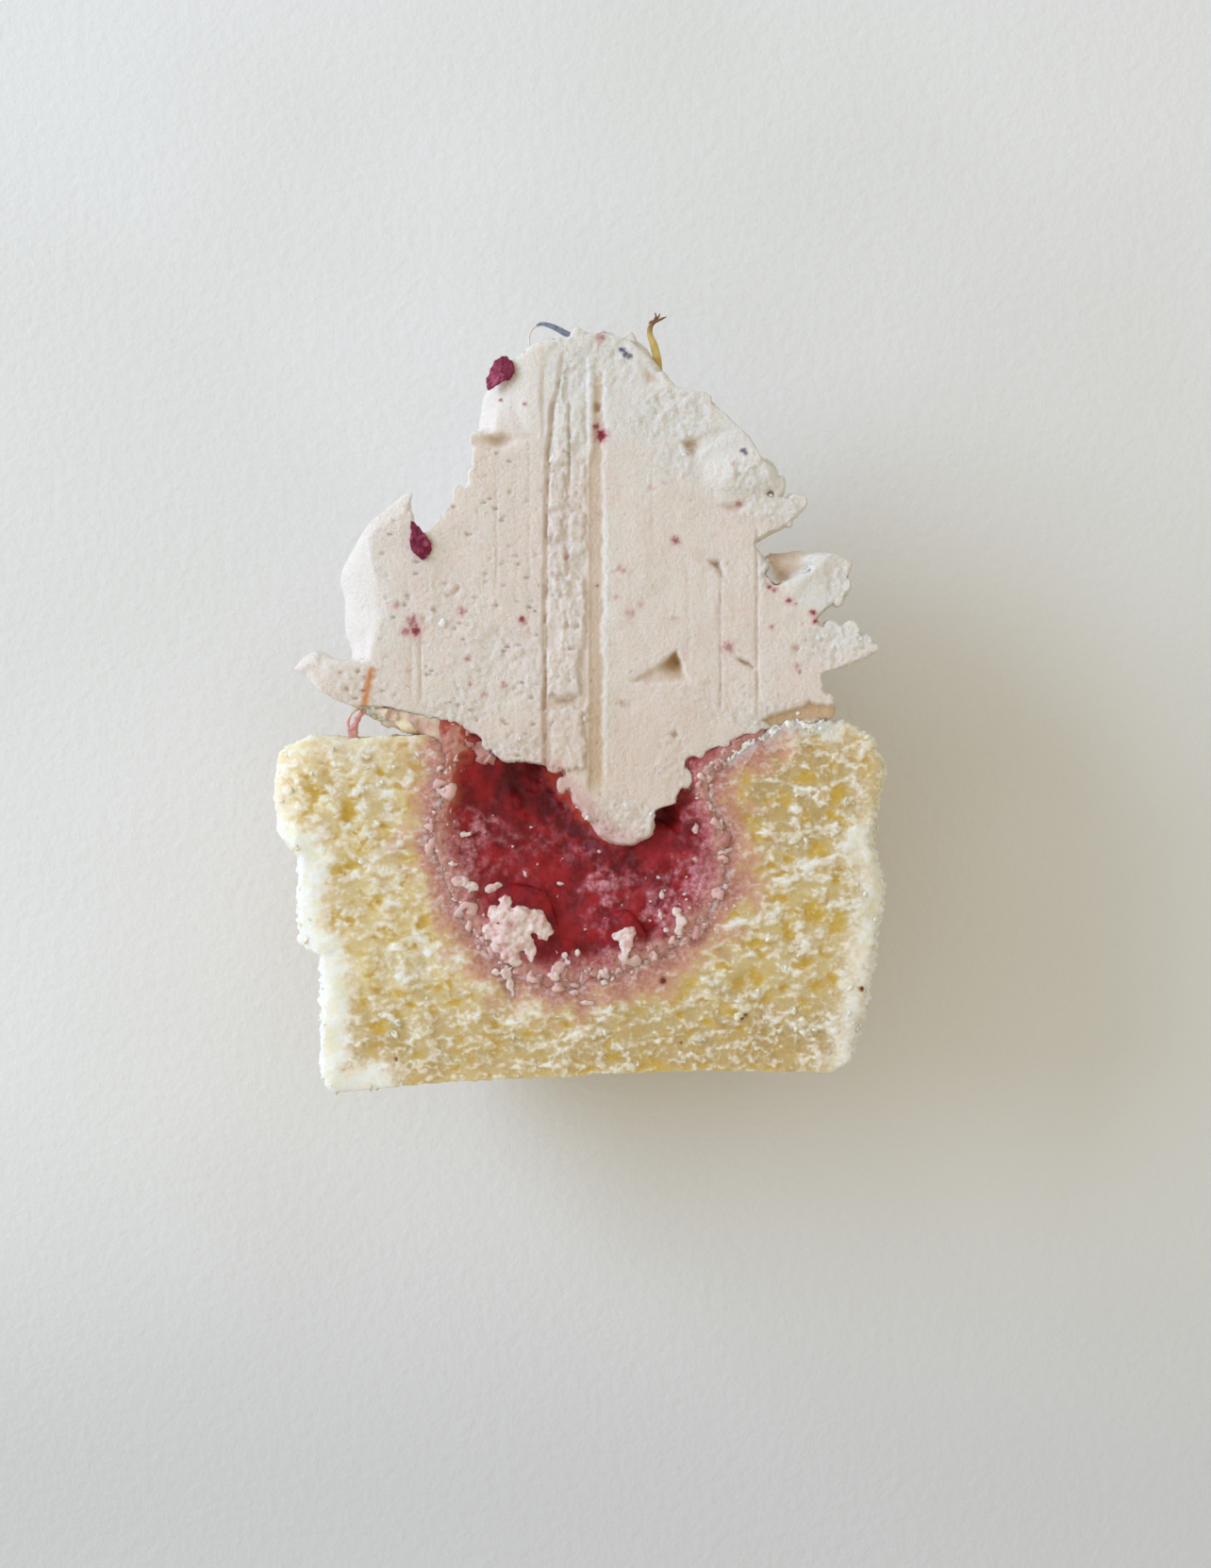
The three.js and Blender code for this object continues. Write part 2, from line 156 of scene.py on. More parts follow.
def moves(points, size, seed, octaves=1, gain=0.5):
    """Noise along each axis, with features of this size, to shake points with."""
    seeds = range(seed, seed + points.shape[1])
    return np.column_stack([rough(points / size, number, octaves, gain) for number in seeds])


def wander(along, size, seed, octaves=1, row=0.0):
    """Noise along one line."""
    return rough(np.column_stack((along / size, np.full(len(along), row))), seed, octaves)


def reach(xy, x, y, wide, tall):
    """How far each point is from a place, in half widths and half heights."""
    return np.hypot((xy[:, 0] - x) / wide, (xy[:, 1] - y) / tall)


def strongest(xy, marks, full, end):
    """The strongest soft mark at each point. A mark is x, y, half width, half height and how much."""
    total = np.zeros(len(xy))
    for x, y, wide, tall, much in marks:
        total = np.maximum(total, much * (1 - eased(reach(xy, x, y, wide, tall), full, end)))
    return total


def depth_inside(xy, outline):
    """How far each point lies inside a closed outline; below 0 outside it."""
    corners = np.array(outline, float)
    inside = np.zeros(len(xy), bool)
    nearest = np.full(len(xy), 1e9)
    for a, b in zip(corners, np.roll(corners, -1, axis=0)):
        side = b - a
        along = np.clip(((xy - a) @ side) / (side @ side), 0, 1)
        nearest = np.minimum(nearest, np.linalg.norm(xy - a - along[:, None] * side, axis=1))
        if a[1] != b[1]:
            crosses = (a[1] > xy[:, 1]) != (b[1] > xy[:, 1])
            inside ^= crosses & (xy[:, 0] < side[0] * (xy[:, 1] - a[1]) / side[1] + a[0])
    return np.where(inside, nearest, -nearest)


# ---- mesh helpers ----
def select_only(obj):
    """Deselects everything and makes obj the one active, selected object."""
    bpy.ops.object.select_all(action="DESELECT")
    obj.select_set(True)
    bpy.context.view_layer.objects.active = obj


def modified(obj, kind, **settings):
    """Adds a modifier with its settings and applies it."""
    select_only(obj)
    modifier = obj.modifiers.new(kind.title(), kind)
    for name, value in settings.items():
        setattr(modifier, name, value)
    bpy.ops.object.modifier_apply(modifier=modifier.name)


def copy_of(node, name, cleared=()):
    """A new piece with the shape of a CAD node, its doubles merged. Whatever lies within the radius of a
    cleared path is taken off it, for a topping that gets a piece of its own."""
    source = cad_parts[node]
    obj = bpy.data.objects.new(name, source.data.copy())
    bpy.context.scene.collection.objects.link(obj)
    obj.data.materials.clear()
    shape = bmesh.new()
    shape.from_mesh(obj.data)
    bmesh.ops.remove_doubles(shape, verts=shape.verts, dist=1e-6)
    if cleared:
        shape.verts.ensure_lookup_table()
        spots = on_cake([v.co for v in shape.verts])
        hit = np.zeros(len(spots), bool)
        for path, radius in cleared:
            hit |= distance_to_path(spots, path) < radius
        bmesh.ops.delete(shape, geom=[shape.verts[i] for i in np.nonzero(hit)[0]], context="VERTS")
        bmesh.ops.holes_fill(shape, edges=[e for e in shape.edges if e.is_boundary], sides=0)
        bmesh.ops.triangulate(shape, faces=[f for f in shape.faces if len(f.verts) > 3])
    shape.to_mesh(obj.data)
    shape.free()
    return obj


def distance_to_path(points, path):
    """Distance from each point to a line through the given corners."""
    nearest = np.full(len(points), 1e9)
    corners = np.array(path, float)
    for a, b in zip(corners, corners[1:]):
        side = b - a
        along = np.clip(((points - a) @ side) / max(side @ side, 1e-9), 0, 1)
        nearest = np.minimum(nearest, np.linalg.norm(points - a - along[:, None] * side, axis=1))
    return nearest


def spots_of(obj):
    """A mesh's vertices in mm on the cake."""
    flat = np.empty(len(obj.data.vertices) * 3)
    obj.data.vertices.foreach_get("co", flat)
    return on_cake(flat.reshape(-1, 3))


def put_spots(obj, spots):
    """Moves a mesh's vertices to these places on the cake."""
    obj.data.vertices.foreach_set("co", placed(spots).ravel())
    obj.data.update()


def normals_of(obj):
    """A mesh's normals, one for each vertex."""
    flat = np.empty(len(obj.data.vertices) * 3)
    obj.data.vertices.foreach_get("normal", flat)
    return flat.reshape(-1, 3)


def paint(obj, name, values):
    """Stores one number per vertex for the material to read."""
    layer = obj.data.attributes.get(name) or obj.data.attributes.new(name, "FLOAT", "POINT")
    layer.data.foreach_set("value", np.clip(values, 0, 1).astype(np.float32))


def painted(obj, name):
    """The numbers that were stored for each vertex."""
    values = np.empty(len(obj.data.vertices), np.float32)
    obj.data.attributes[name].data.foreach_get("value", values)
    return values


def thinned(obj, most, keep):
    """Removes faces until at most so many triangles are left, first where keep(spots, normals) is low."""
    triangles = sum(len(p.vertices) - 2 for p in obj.data.polygons)
    if triangles <= most:
        return
    group = obj.vertex_groups.new(name="thin")
    wanted = keep(spots_of(obj), normals_of(obj))
    for level in (0.0, 0.25, 0.5, 0.75):
        chosen = np.nonzero((wanted >= level) & (wanted < level + 0.25))[0].tolist()
        group.add(chosen, 1.0 - level, "REPLACE")
    modified(
        obj, "DECIMATE", decimate_type="COLLAPSE", ratio=most / triangles, vertex_group="thin",
        vertex_group_factor=8.0,
    )
    obj.vertex_groups.clear()


def finished(obj, material, node_names):
    """Gives a piece its material in its one slot, shades it smooth, hangs it under the root and hides the
    CAD nodes that it stands for.
    """
    obj.data.materials.clear()
    obj.data.materials.append(material)
    select_only(obj)
    bpy.ops.object.shade_smooth()
    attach(obj, "root")
    if node_names:
        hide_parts(*node_names)


def joined(objects, name):
    """Several meshes made one piece."""
    bpy.ops.object.select_all(action="DESELECT")
    for obj in objects:
        obj.select_set(True)
    bpy.context.view_layer.objects.active = objects[0]
    if len(objects) > 1:
        bpy.ops.object.join()
    objects[0].name = name
    return objects[0]


# ---- material helpers ----
def new_material(name):
    """An empty material and its node tree."""
    material = bpy.data.materials.new(name)
    material.use_nodes = True
    tree = material.node_tree
    tree.nodes.clear()
    return material, tree


def add(tree, kind, links=None, **settings):
    """Adds a node: its settings by name, its inputs as in_NAME or in_NUMBER, and its links from sockets."""
    made = tree.nodes.new(kind)
    for name, value in settings.items():
        if name.startswith("in_"):
            key = name[3:]
            made.inputs[int(key) if key.isdigit() else key.replace("_", " ")].default_value = value
        else:
            setattr(made, name, value)
    for key, socket in (links or {}).items():
        tree.links.new(socket, made.inputs[key])
    return made


def pattern(tree, size_mm, detail, roughness=0.5):
    """Noise on Object coordinates whose features are about size_mm wide."""
    place = add(tree, "ShaderNodeTexCoord")
    return add(
        tree, "ShaderNodeTexNoise", links={"Vector": place.outputs["Object"]},
        in_Scale=1.0 / (size_mm * MM), in_Detail=detail, in_Roughness=roughness,
    ).outputs["Fac"]


def read(tree, name):
    """The value that a mesh's vertices store under a name."""
    return add(tree, "ShaderNodeAttribute", attribute_name=name).outputs["Fac"]


def mixed(tree, factor, first, second):
    """A colour mixed from two by a socket. Each colour is a hex value, a setting or a socket."""
    made = add(tree, "ShaderNodeMix", links={0: factor}, data_type="RGBA")
    for key, value in ((6, first), (7, second)):
        if isinstance(value, bpy.types.NodeSocket):
            tree.links.new(value, made.inputs[key])
        else:
            made.inputs[key].default_value = linear(value) if isinstance(value, str) else value
    return made.outputs[2]


def layered(tree, colour, *layers):
    """A colour with others laid over it, each where its mask says."""
    for mask, over in layers:
        colour = mixed(tree, mask, colour, over)
    return colour


def ranged(tree, value, low, high, to_low=0.0, to_high=1.0):
    """A value eased from one range into another."""
    return add(
        tree, "ShaderNodeMapRange", links={"Value": value}, interpolation_type="SMOOTHSTEP",
        in_1=low, in_2=high, in_3=to_low, in_4=to_high,
    ).outputs[0]


def ragged(tree, value, noise, much):
    """A value made ragged by a noise that is 0.5 on average."""
    steady = add(tree, "ShaderNodeMath", links={0: value}, operation="SUBTRACT", in_1=0.5 * much).outputs[0]
    links = {0: noise, 2: steady}
    return add(tree, "ShaderNodeMath", links=links, operation="MULTIPLY_ADD", in_1=much).outputs[0]


def shaded(tree, colour, roughness, height, depth_mm, scatter=None, **settings):
    """The surface shader, with a bump whose full height is depth_mm, and light scattered inside it by a
    weight, a radius for red, green and blue, and a scale in mm."""
    if scatter:
        weight, radius, scale_mm = scatter
        settings.update(
            in_Subsurface_Weight=weight, in_Subsurface_Radius=radius, in_Subsurface_Scale=scale_mm * MM
        )
    surface = add(tree, "ShaderNodeBsdfPrincipled", links={"Base Color": colour}, **settings)
    if isinstance(roughness, float):
        surface.inputs["Roughness"].default_value = roughness
    else:
        tree.links.new(roughness, surface.inputs["Roughness"])
    bump = add(tree, "ShaderNodeBump", links={"Height": height}, in_Strength=1.0, in_Distance=depth_mm * MM)
    tree.links.new(bump.outputs[0], surface.inputs["Normal"])
    add(tree, "ShaderNodeOutputMaterial", links={"Surface": surface.outputs[0]})


# ---- settings ----
def length_setting(name, description, mm):
    """A length that the panel can change, in millimetres."""
    return FloatProperty(name=name, description=description, default=mm * MM, unit="LENGTH", precision=5)


def colour_setting(name, description, hex_colour):
    """A colour that the panel can change."""
    return FloatVectorProperty(
        name=name, description=description, subtype="COLOR", size=4, min=0, max=1, default=linear(hex_colour)
    )


class SpongeSettings(bpy.types.PropertyGroup):
    """The baked crumb."""

    grain: length_setting("Mesh grain", "Edge length of the crumb's mesh", 0.22)
    crumb: colour_setting("Crumb", "Colour of the crumb between crest and pore", "#E8D6A2")
    crest: colour_setting("Crest", "Colour of torn, dry crests", "#F3EAD4")
    # painted shade: the darker yellow laid into the crumb's hollows
    shaded_pore: colour_setting("Pore", "Colour deep in a pore", "#D9B755")


class JamSettings(bpy.types.PropertyGroup):
    """The jam filling."""

    grain: length_setting("Mesh grain", "Edge length of the jam's mesh", 0.2)
    swell: length_setting("Swell", "How far the jam spreads under the crumb round it", 1.35)
    clear: colour_setting("Clear jam", "Colour of jam where light reaches into it", "#A0181F")
    # the deep jam colour is also painted shade under the cream's tongue
    deep: colour_setting("Deep jam", "Colour of thick, smooth jam", "#58060F")


class CreamSettings(bpy.types.PropertyGroup):
    """The buttercream."""

    grain: length_setting("Mesh grain", "Edge length of the cream's mesh", 0.22)
    furrow_depth: length_setting("Furrow depth", "Depth of the deepest furrow that the knife dragged", 0.6)
    ivory: colour_setting("Buttercream", "Colour of the whipped butter", "#FFEEDF")
    # hollow: painted shade, warmer and darker, in furrows and hollows
    hollow: colour_setting("Hollow", "Warmer colour deep in a furrow or hollow", "#DDB684")


class StageSettings(bpy.types.PropertyGroup):
    """The board, the lights and the camera."""

    field: length_setting("Field width", "Width of the view at the cut face", 134.8)
    lens: FloatProperty(
        name="Lens", description="Focal length of the camera", default=85.0, subtype="DISTANCE_CAMERA"
    )
    board: colour_setting("Board", "Colour of the painted board", "#EBEBE8")


class CupcakeSettings(bpy.types.PropertyGroup):
    """All of the half cupcake's settings."""

    sponge: PointerProperty(type=SpongeSettings)
    jam: PointerProperty(type=JamSettings)
    cream: PointerProperty(type=CreamSettings)
    stage: PointerProperty(type=StageSettings)


# ---- the sponge ----
# Flakes that the tear left standing on the crumb: from x, y to x, y and their width.
FLAKES = [
    (20.8, 21.6, 22.7, 22.4, 0.9), (22.7, 22.4, 25.6, 24, 1.1), (25.6, 24, 27.5, 24.3, 1.1),
    (27.5, 24.3, 28.9, 25.4, 0.9), (28.7, 25.3, 29.9, 27.1, 1.1), (29.9, 27.1, 32, 27.3, 1.5),
    (21.7, 14.7, 23.7, 14.9, 0.9), (23.7, 14.9, 26, 16.2, 0.9), (18.7, 17.8, 21.7, 18.5, 1.4),
    (17.2, 9.2, 20.4, 10, 0.8), (21.7, 7.6, 24.9, 8, 0.3), (20.5, 6.6, 22.5, 7.1, 0.8),
    (23.9, 5.1, 25.6, 6.1, 1.1), (25.6, 6.1, 27.5, 6.1, 1.3), (27.5, 6.1, 28.9, 4, 1.5),
    (28.7, 19.7, 30.9, 19.4, 1.3), (31.3, 21.6, 32.2, 20.7, 0.8), (25.1, 28, 27.3, 28, 1.2),
    (19.6, 27.6, 20.6, 27.8, 0.6), (22.3, 27.2, 24.7, 27.6, 0.8), (23.6, 32.4, 25.1, 32.4, 0.8),
    (26.6, 32.4, 29.2, 33.6, 0.6), (22.7, 29.9, 23.9, 30.2, 0.6), (29.4, 34.8, 31.3, 34.8, 0.5),
    (29.2, 37.2, 31.5, 37.6, 0.4), (12.7, 9.4, 13.9, 9.4, 0.6), (11.8, 4.4, 14.2, 5.4, 0.5),
    (17.4, 3.7, 19.1, 5.4, 0.5), (14.7, 16.8, 17.8, 17.8, 0.8), (13.1, 14.2, 15.2, 15.2, 0.6),
    (22.6, 12.1, 23.9, 12.3, 0.7), (29.4, 11, 29.9, 7.3, 1.3), (-23.3, 24.6, -22.2, 25.7, 0.9),
    (-22.2, 25.7, -20.3, 27.2, 1.3), (-20.3, 27.4, -17.8, 27, 1.2), (-23.1, 29, -20.7, 29.6, 0.5),
    (-26.9, 27.2, -25.2, 28.9, 0.8), (-29.3, 32.4, -27.2, 33.1, 0.6), (-25.5, 32, -24.6, 32.7, 0.6),
    (-22.9, 31.5, -21, 32.2, 0.7), (-20.3, 33, -19.3, 33.4, 0.7), (-25.2, 30.3, -24.3, 30.1, 0.8),
    (-26.7, 22.2, -23.6, 23.8, 1.1), (-22.4, 21, -21, 21, 0.6), (-21.6, 19.8, -20.3, 19.3, 0.8),
    (-23.8, 16.9, -22.4, 17.4, 0.6), (-22.4, 17.4, -20.3, 16.9, 0.6), (-21, 14.9, -19.9, 14.6, 0.8),
    (-24.8, 13.7, -23.3, 13.5, 0.5), (-18.1, 15.2, -14.9, 13.1, 2.1), (-17.8, 12, -16.4, 13.1, 0.6),
    (-21.4, 12, -19.5, 11.7, 1.1), (-18.8, 8.8, -16.7, 8.8, 0.6), (-22.4, 7.3, -21, 6.9, 0.6),
    (-26.2, 4.6, -24.8, 4.1, 0.8), (-19.7, 4.3, -18.8, 4.7, 0.7), (-17.3, 2.6, -16, 2.4, 0.7),
    (-11.9, 4.5, -11.1, 4.5, 0.6), (-10.7, 5.7, -8.8, 5.6, 0.4), (-13.5, 6.2, -11.7, 7.3, 0.7),
    (-7.9, 6.7, -6.3, 7.7, 1.1), (-31, 27.2, -28.9, 27.2, 0.9), (-2.1, 4.7, 2.1, 5.6, 0.6),
    (-6.3, 3.5, -3.1, 3.9, 0.5), (3.1, 3.7, 7.3, 4.3, 0.6), (0, 7.3, 3.1, 7.9, 0.5),
    (5.2, 6.3, 8.4, 7, 0.5), (-4.7, 1.6, 2.1, 1.8, 0.4),
]
# Air holes that the tear opened: x, y and their half width and half height.
POCKETS = [
    (28.2, 31.6, 1.1, 1.2), (24.4, 29.4, 0.7, 0.9), (27.5, 29.5, 0.6, 0.4), (26.1, 25.9, 0.7, 0.7),
    (20.7, 24, 0.5, 0.4), (22.7, 24.5, 0.6, 0.4), (21.7, 23.1, 0.7, 0.4), (25.6, 18.8, 1.5, 1.3),
    (28.7, 17.3, 0.8, 0.8), (21.7, 20.2, 1.1, 0.5), (18.7, 15.2, 0.9, 0.4), (22.7, 16.8, 0.8, 1.1),
    (24.7, 13.1, 0.8, 0.6), (22.3, 10.2, 0.6, 0.5), (27.7, 11.3, 0.9, 0.9), (25.6, 10.6, 1.1, 0.7),
    (19.1, 11.1, 0.9, 0.9), (10.8, 9.3, 0.4, 0.4), (9.9, 12.6, 1.2, 0.5), (15.3, 12.6, 1.1, 0.4),
    (16.3, 7.6, 0.8, 0.4), (13.7, 6.3, 0.8, 0.4), (10.5, 7.3, 0.7, 0.4), (17.4, 5.7, 0.6, 0.4),
    (21.7, 31.2, 0.6, 0.3), (31.5, 35.2, 0.6, 0.8), (-24.6, 26.2, 1.3, 0.9), (-25.7, 23.8, 1.5, 0.7),
    (-23.3, 19.8, 1.1, 0.8), (-26.2, 17.8, 0.6, 0.7), (-21.6, 16.3, 1.3, 0.8), (-19.3, 15, 1.1, 0.5),
    (-27.6, 23.1, 0.9, 1.1), (-25.5, 8.8, 1.2, 1.5), (-19.3, 8.5, 0.5, 0.5), (-14.3, 8.8, 0.9, 0.4),
    (-16.9, 7.7, 0.9, 0.4), (-23.1, 5.8, 1.1, 0.8), (-10, 6.3, 0.6, 0.4), (-26.2, 29.8, 0.8, 1.6),
    (-17.8, 17.8, 0.7, 0.6), (-13.1, 15.8, 0.7, 0.8), (-30.2, 31.5, 0.6, 1.7), (-2.1, 6.3, 0.9, 0.4),
    (3.1, 2.6, 0.9, 0.4), (-6.3, 5.2, 0.7, 0.4),
]
# Dark specks on the crumb: x, y and radius.
CRUMB_SPECKS = [
    (17.4, 6.9, 0.22), (17.9, 7.3, 0.2), (-21, 2.4, 0.2), (10.7, 4.2, 0.18), (8.7, 11.1, 0.4),
    (30.8, 10.2, 0.3),
]
# The white rim of cream that stayed on the sponge's shoulder: x, y, width and height of each lump.
RESIDUE = [
    (13.1, 35, 0.6, 0.5), (13.9, 35.4, 0.9, 0.7), (14.9, 35.6, 1.1, 0.7), (16, 35.9, 1.1, 0.8),
    (16.8, 36.4, 1.2, 0.9), (17.6, 37.1, 1.3, 1.1), (18.5, 37.6, 1.3, 1.1), (19.5, 38, 1.3, 0.9),
    (20.6, 38.5, 1.3, 1.1), (21.6, 39.1, 1.5, 1.1), (22.9, 39.4, 1.5, 1.1), (24.1, 39.5, 1.5, 0.9),
    (25.4, 39.4, 1.3, 0.8), (26.7, 39.1, 1.1, 0.6), (27.7, 38.7, 0.8, 0.5), (11.9, 34.3, 0.4, 0.4),
    (12.4, 33.6, 0.4, 0.4),
]
UPHILL = 0.12  # the slant of the tear, in radians
SLANT = np.array([[math.cos(UPHILL), -math.sin(UPHILL)], [math.sin(UPHILL), math.cos(UPHILL)]])


def crumb_relief(xy, wet):
    """The torn crumb at points in mm, calmer where it is wet with jam: its height, how much of a pale clump
    each point is, and how much yellow painted shade it gets as a hollow."""
    soft = xy + 0.35 * moves(xy, 1.5, 4)
    shaken = soft + 0.2 * moves(xy, 0.7, 7, 2, 0.6)
    torn = shaken @ SLANT
    fluff = rough(xy / 0.5, 20, 2, 0.6)
    broad = rough(torn / (4.0, 2.6), 30, 3)
    lower = 1 - eased(xy[:, 1] + 2 * broad, 6, 16)  # the lower crumb is finer and lies in layers
    clump = (1 - lower) * rough(torn / (1.25, 0.8), 12, 4, 0.6)
    clump += lower * rough(torn / (1.1, 0.55), 22, 3, 0.6) + 0.3 * broad
    grains, _, luck = cells(shaken / (0.8, 0.65), 24)
    granule = (1 - eased(grains + 0.25 * fluff, 0.15, 0.45)) * eased(luck, 0.4, 0.75)
    hollow = -rough(soft @ SLANT / (1.8, 1.2), 16, 2, 0.4) - 0.15 * clump
    hollow = eased(hollow, 0.05, 0.7) * (0.8 - 0.3 * lower)
    for pocket in POCKETS:
        hollow = np.maximum(hollow, 1 - eased(reach(soft, *pocket) + 0.1 * fluff, 0.2, 1.5))
    flake = np.zeros(len(xy))
    for x0, y0, x1, y1, width in FLAKES:
        away = distance_to_path(shaken, [(x0, y0), (x1, y1)]) / (0.6 * width)
        flake = np.maximum(flake, 1 - eased(away + 0.8 * fluff, 0.3, 1.4))
    flake *= 0.4 + 0.6 * (1 - eased(grains, 0.3, 0.6))
    hollow *= 1 - flake
    # painted shade: pale clumps are dimmed towards the bottom and the right, where the light falls off
    dull = 1 - 0.18 * lower - 0.06 * eased(xy[:, 0], 8, 28)
    veil = eased(clump, -0.3, 0.45)
    core = eased(clump + 0.25 * fluff, 0.25, 0.65)
    pale = dull * (0.42 * veil + 0.28 * core) * (1 - 0.75 * hollow) + 0.6 * flake + 0.2 * fluff
    pale += 0.45 * granule * (0.15 + 0.85 * veil) * (1 - hollow)
    pale = np.clip(pale, 0, 1)
    height = 0.12 * broad + 0.06 * veil + 0.08 * core + 0.05 * fluff + 0.13 * flake - 0.14 * hollow - 0.1
    height += 0.08 * granule * veil
    # painted shade: a darker yellow in the hollows and between the clumps
    shaded_pore = np.clip(0.3 * (1 - veil) + 0.9 * hollow - 0.6 * pale + 0.15 * fluff, 0, 1)
    return height * (1 - 0.4 * wet), pale, shaded_pore


def nearness(spots, marks):
    """How far each spot is from the nearest of the marks."""
    tree = KDTree(len(marks))
    for i, mark in enumerate(marks):
        tree.insert(mark, i)
    tree.balance()
    return np.array([tree.find(spot)[2] for spot in spots])


def jam_distance(spots):
    """How far each spot is from the surface of the jam."""
    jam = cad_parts["jam"]
    near = np.array([jam.closest_point_on_mesh(spot)[1] for spot in placed(spots).tolist()])
    return np.linalg.norm(on_cake(near) - spots, axis=1)


def soaked(spots, away):
    """How wet with jam the crumb is at each point."""
    width = 6.4 + 3.6 * rough(spots / 2.8, 60, 3) + 1.8 * rough(spots / 0.9, 64, 2)
    return 1 - eased(away, 0.5, np.maximum(width, 2.4))


def dry_lit_fringe_of(spots, normals, chosen, step=1):
    """How much each chosen spot belongs to the dry, pale fringe along the sponge's outer edge, which also
    carries a painted highlight, strongest on the lit left side.
    """
    rim = spots[(spots[:, 2] > CUT - 4) & (normals[:, 2] < 0.2)][::step]
    spots = spots[chosen]
    outer = np.abs(spots[:, 0]) > 17
    away = np.full(len(spots), 9.0)
    away[outer] = nearness(spots[outer], rim)
    dry_lit_fringe = 1 - eased(away + 0.9 * rough(spots / 1.1, 54, 3), 0.7, 4.8)
    # the left side, which faces the light, gets the most: there the fringe's white is a painted highlight
    dry_lit_fringe *= np.minimum(1, 1.1 * eased(-spots[:, 0], 18, 25) + 0.65 * eased(spots[:, 0], 22, 29))
    return dry_lit_fringe * (1 - 0.6 * eased(spots[:, 1], 25, 32))


def make_sponge_material(settings):
    """Butter sponge, baked and torn open: a dull crumb whose broken crests dry pale, whose pores get a yellow
    painted glow and shade for the light that soaks in, with painted shade darkening it towards the right
    and the bottom and a painted highlight on its pale outer fringe, and which turns pink and wet where the
    jam soaks it."""
    material, tree = new_material("butter sponge crumb")
    fine = pattern(tree, 0.45, 5.0, 0.7)
    patchy = pattern(tree, 5.0, 3.0)
    mottled = pattern(tree, 1.5, 4.0, 0.65)
    shaded_pore = ragged(tree, read(tree, "shaded_pore"), fine, 0.5)
    torn = ragged(tree, read(tree, "pale"), fine, 1.1)
    dry_lit_fringe = ragged(tree, read(tree, "dry_lit_fringe"), fine, 0.9)
    wet = read(tree, "soaked")
    crust = mixed(tree, ranged(tree, patchy, 0.4, 0.62), "#DDB675", "#E6C78F")
    # the fringe's white: dry crumb and a painted highlight
    white = mixed(tree, ranged(tree, mottled, 0.38, 0.62), "#FFFCF4", "#FBF4E2")
    baked = mixed(tree, ranged(tree, fine, 0.4, 0.62), "#C6A26C", "#E3D0A6")
    pink = mixed(tree, ranged(tree, fine, 0.3, 0.7), "#BE726B", "#DCAF9F")
    stain = mixed(tree, ranged(tree, wet, 0.35, 0.95), "#DDB48E", pink)
    stain = mixed(tree, ranged(tree, torn, 0.1, 0.9, 0.0, 0.6), stain, "#EBD6CE")
    colour = layered(
        tree, settings.crumb,
        (ranged(tree, patchy, 0.35, 0.65), "#E3D1A4"),
        # painted shade, darker towards the right and the bottom
        (read(tree, "falloff_shade"), "#CDB582"),
        # painted shade in the pores
        (ranged(tree, shaded_pore, 0.0, 1.0), settings.shaded_pore),
        (ranged(tree, torn, 0.0, 0.75, 0.0, 0.85), settings.crest),
        (ranged(tree, torn, 0.65, 1.0, 0.0, 0.9), "#FDF9EE"),
        (ranged(tree, read(tree, "side"), 0.0, 1.0, 0.0, 0.9), "#F7EDCD"),
        (ragged(tree, read(tree, "crust"), fine, 0.5), crust),
        (ranged(tree, dry_lit_fringe, 0.0, 0.85, 0.0, 0.9), white),
        (read(tree, "baked"), baked),
        (ranged(tree, wet, 0.0, 0.65, 0.0, 0.94), stain),
        (read(tree, "speck"), "#7C3526"),
    )
    shaded(
        tree, colour, ranged(tree, wet, 0.3, 0.95, 0.85, 0.45), pattern(tree, 0.28, 5.0, 0.75), 0.1,
        scatter=(0.9, (1.0, 0.8, 0.5), 2.4), in_Specular_IOR_Level=0.25,
    )
    return material


def tear_sponge(obj):
    """Moves the sponge's vertices into torn crumb on the cut and rough crust round the sides."""
    spots, normals = spots_of(obj), normals_of(obj)
    x, y, z = spots.T.copy()
    cut = eased(normals[:, 2], 0.35, 0.8) * eased(z, CUT - 5, CUT - 3)
    near = z > CUT - 5
    away = np.full(len(spots), 9.0)
    away[near] = jam_distance(spots[near])
    by_jam = eased(normals[:, 2], 0.05, 0.4) * (away < 2) * eased(z, CUT - 1.4, CUT - 0.6)
    cut = np.maximum(cut, by_jam)
    near &= cut > 0
    away = away[near]
    lip = 1 - eased(away + 0.5 * rough(spots[near] / 1.1, 66, 2), 0.3, 1.9)
    calm = 1 - 0.5 * dry_lit_fringe_of(spots, normals, near, 3)
    height = np.zeros(len(spots))
    height[near] = crumb_relief(spots[near, :2], soaked(spots[near], away))[0] * calm
    height[near] += lip * (0.3 * rough(spots[near] / 0.8, 68, 2) - 0.1)
    fuzz = 0.2 * rough(spots / 0.7, 40, 3, 0.65) + 0.25 * waves(spots / 2.3, 44)
    torn_edge = np.maximum(eased(x, 15, 25), 0.8 * (1 - eased(y, 22, 27)))
    fuzz += 0.5 * rough(spots / 0.8, 42, 3, 0.65) * torn_edge * eased(z, CUT - 7, CUT - 3)
    side = (1 - cut) * eased(z, BOARD + 0.5, BOARD + 3)
    under = eased(-normals[:, 1], 0.6, 0.9)
    spots[:, 2] += cut * height
    spots += normals * (side * (1 - 0.7 * under) * fuzz)[:, None]
    spots[:, 2] = np.maximum(spots[:, 2], BOARD)
    put_spots(obj, spots)


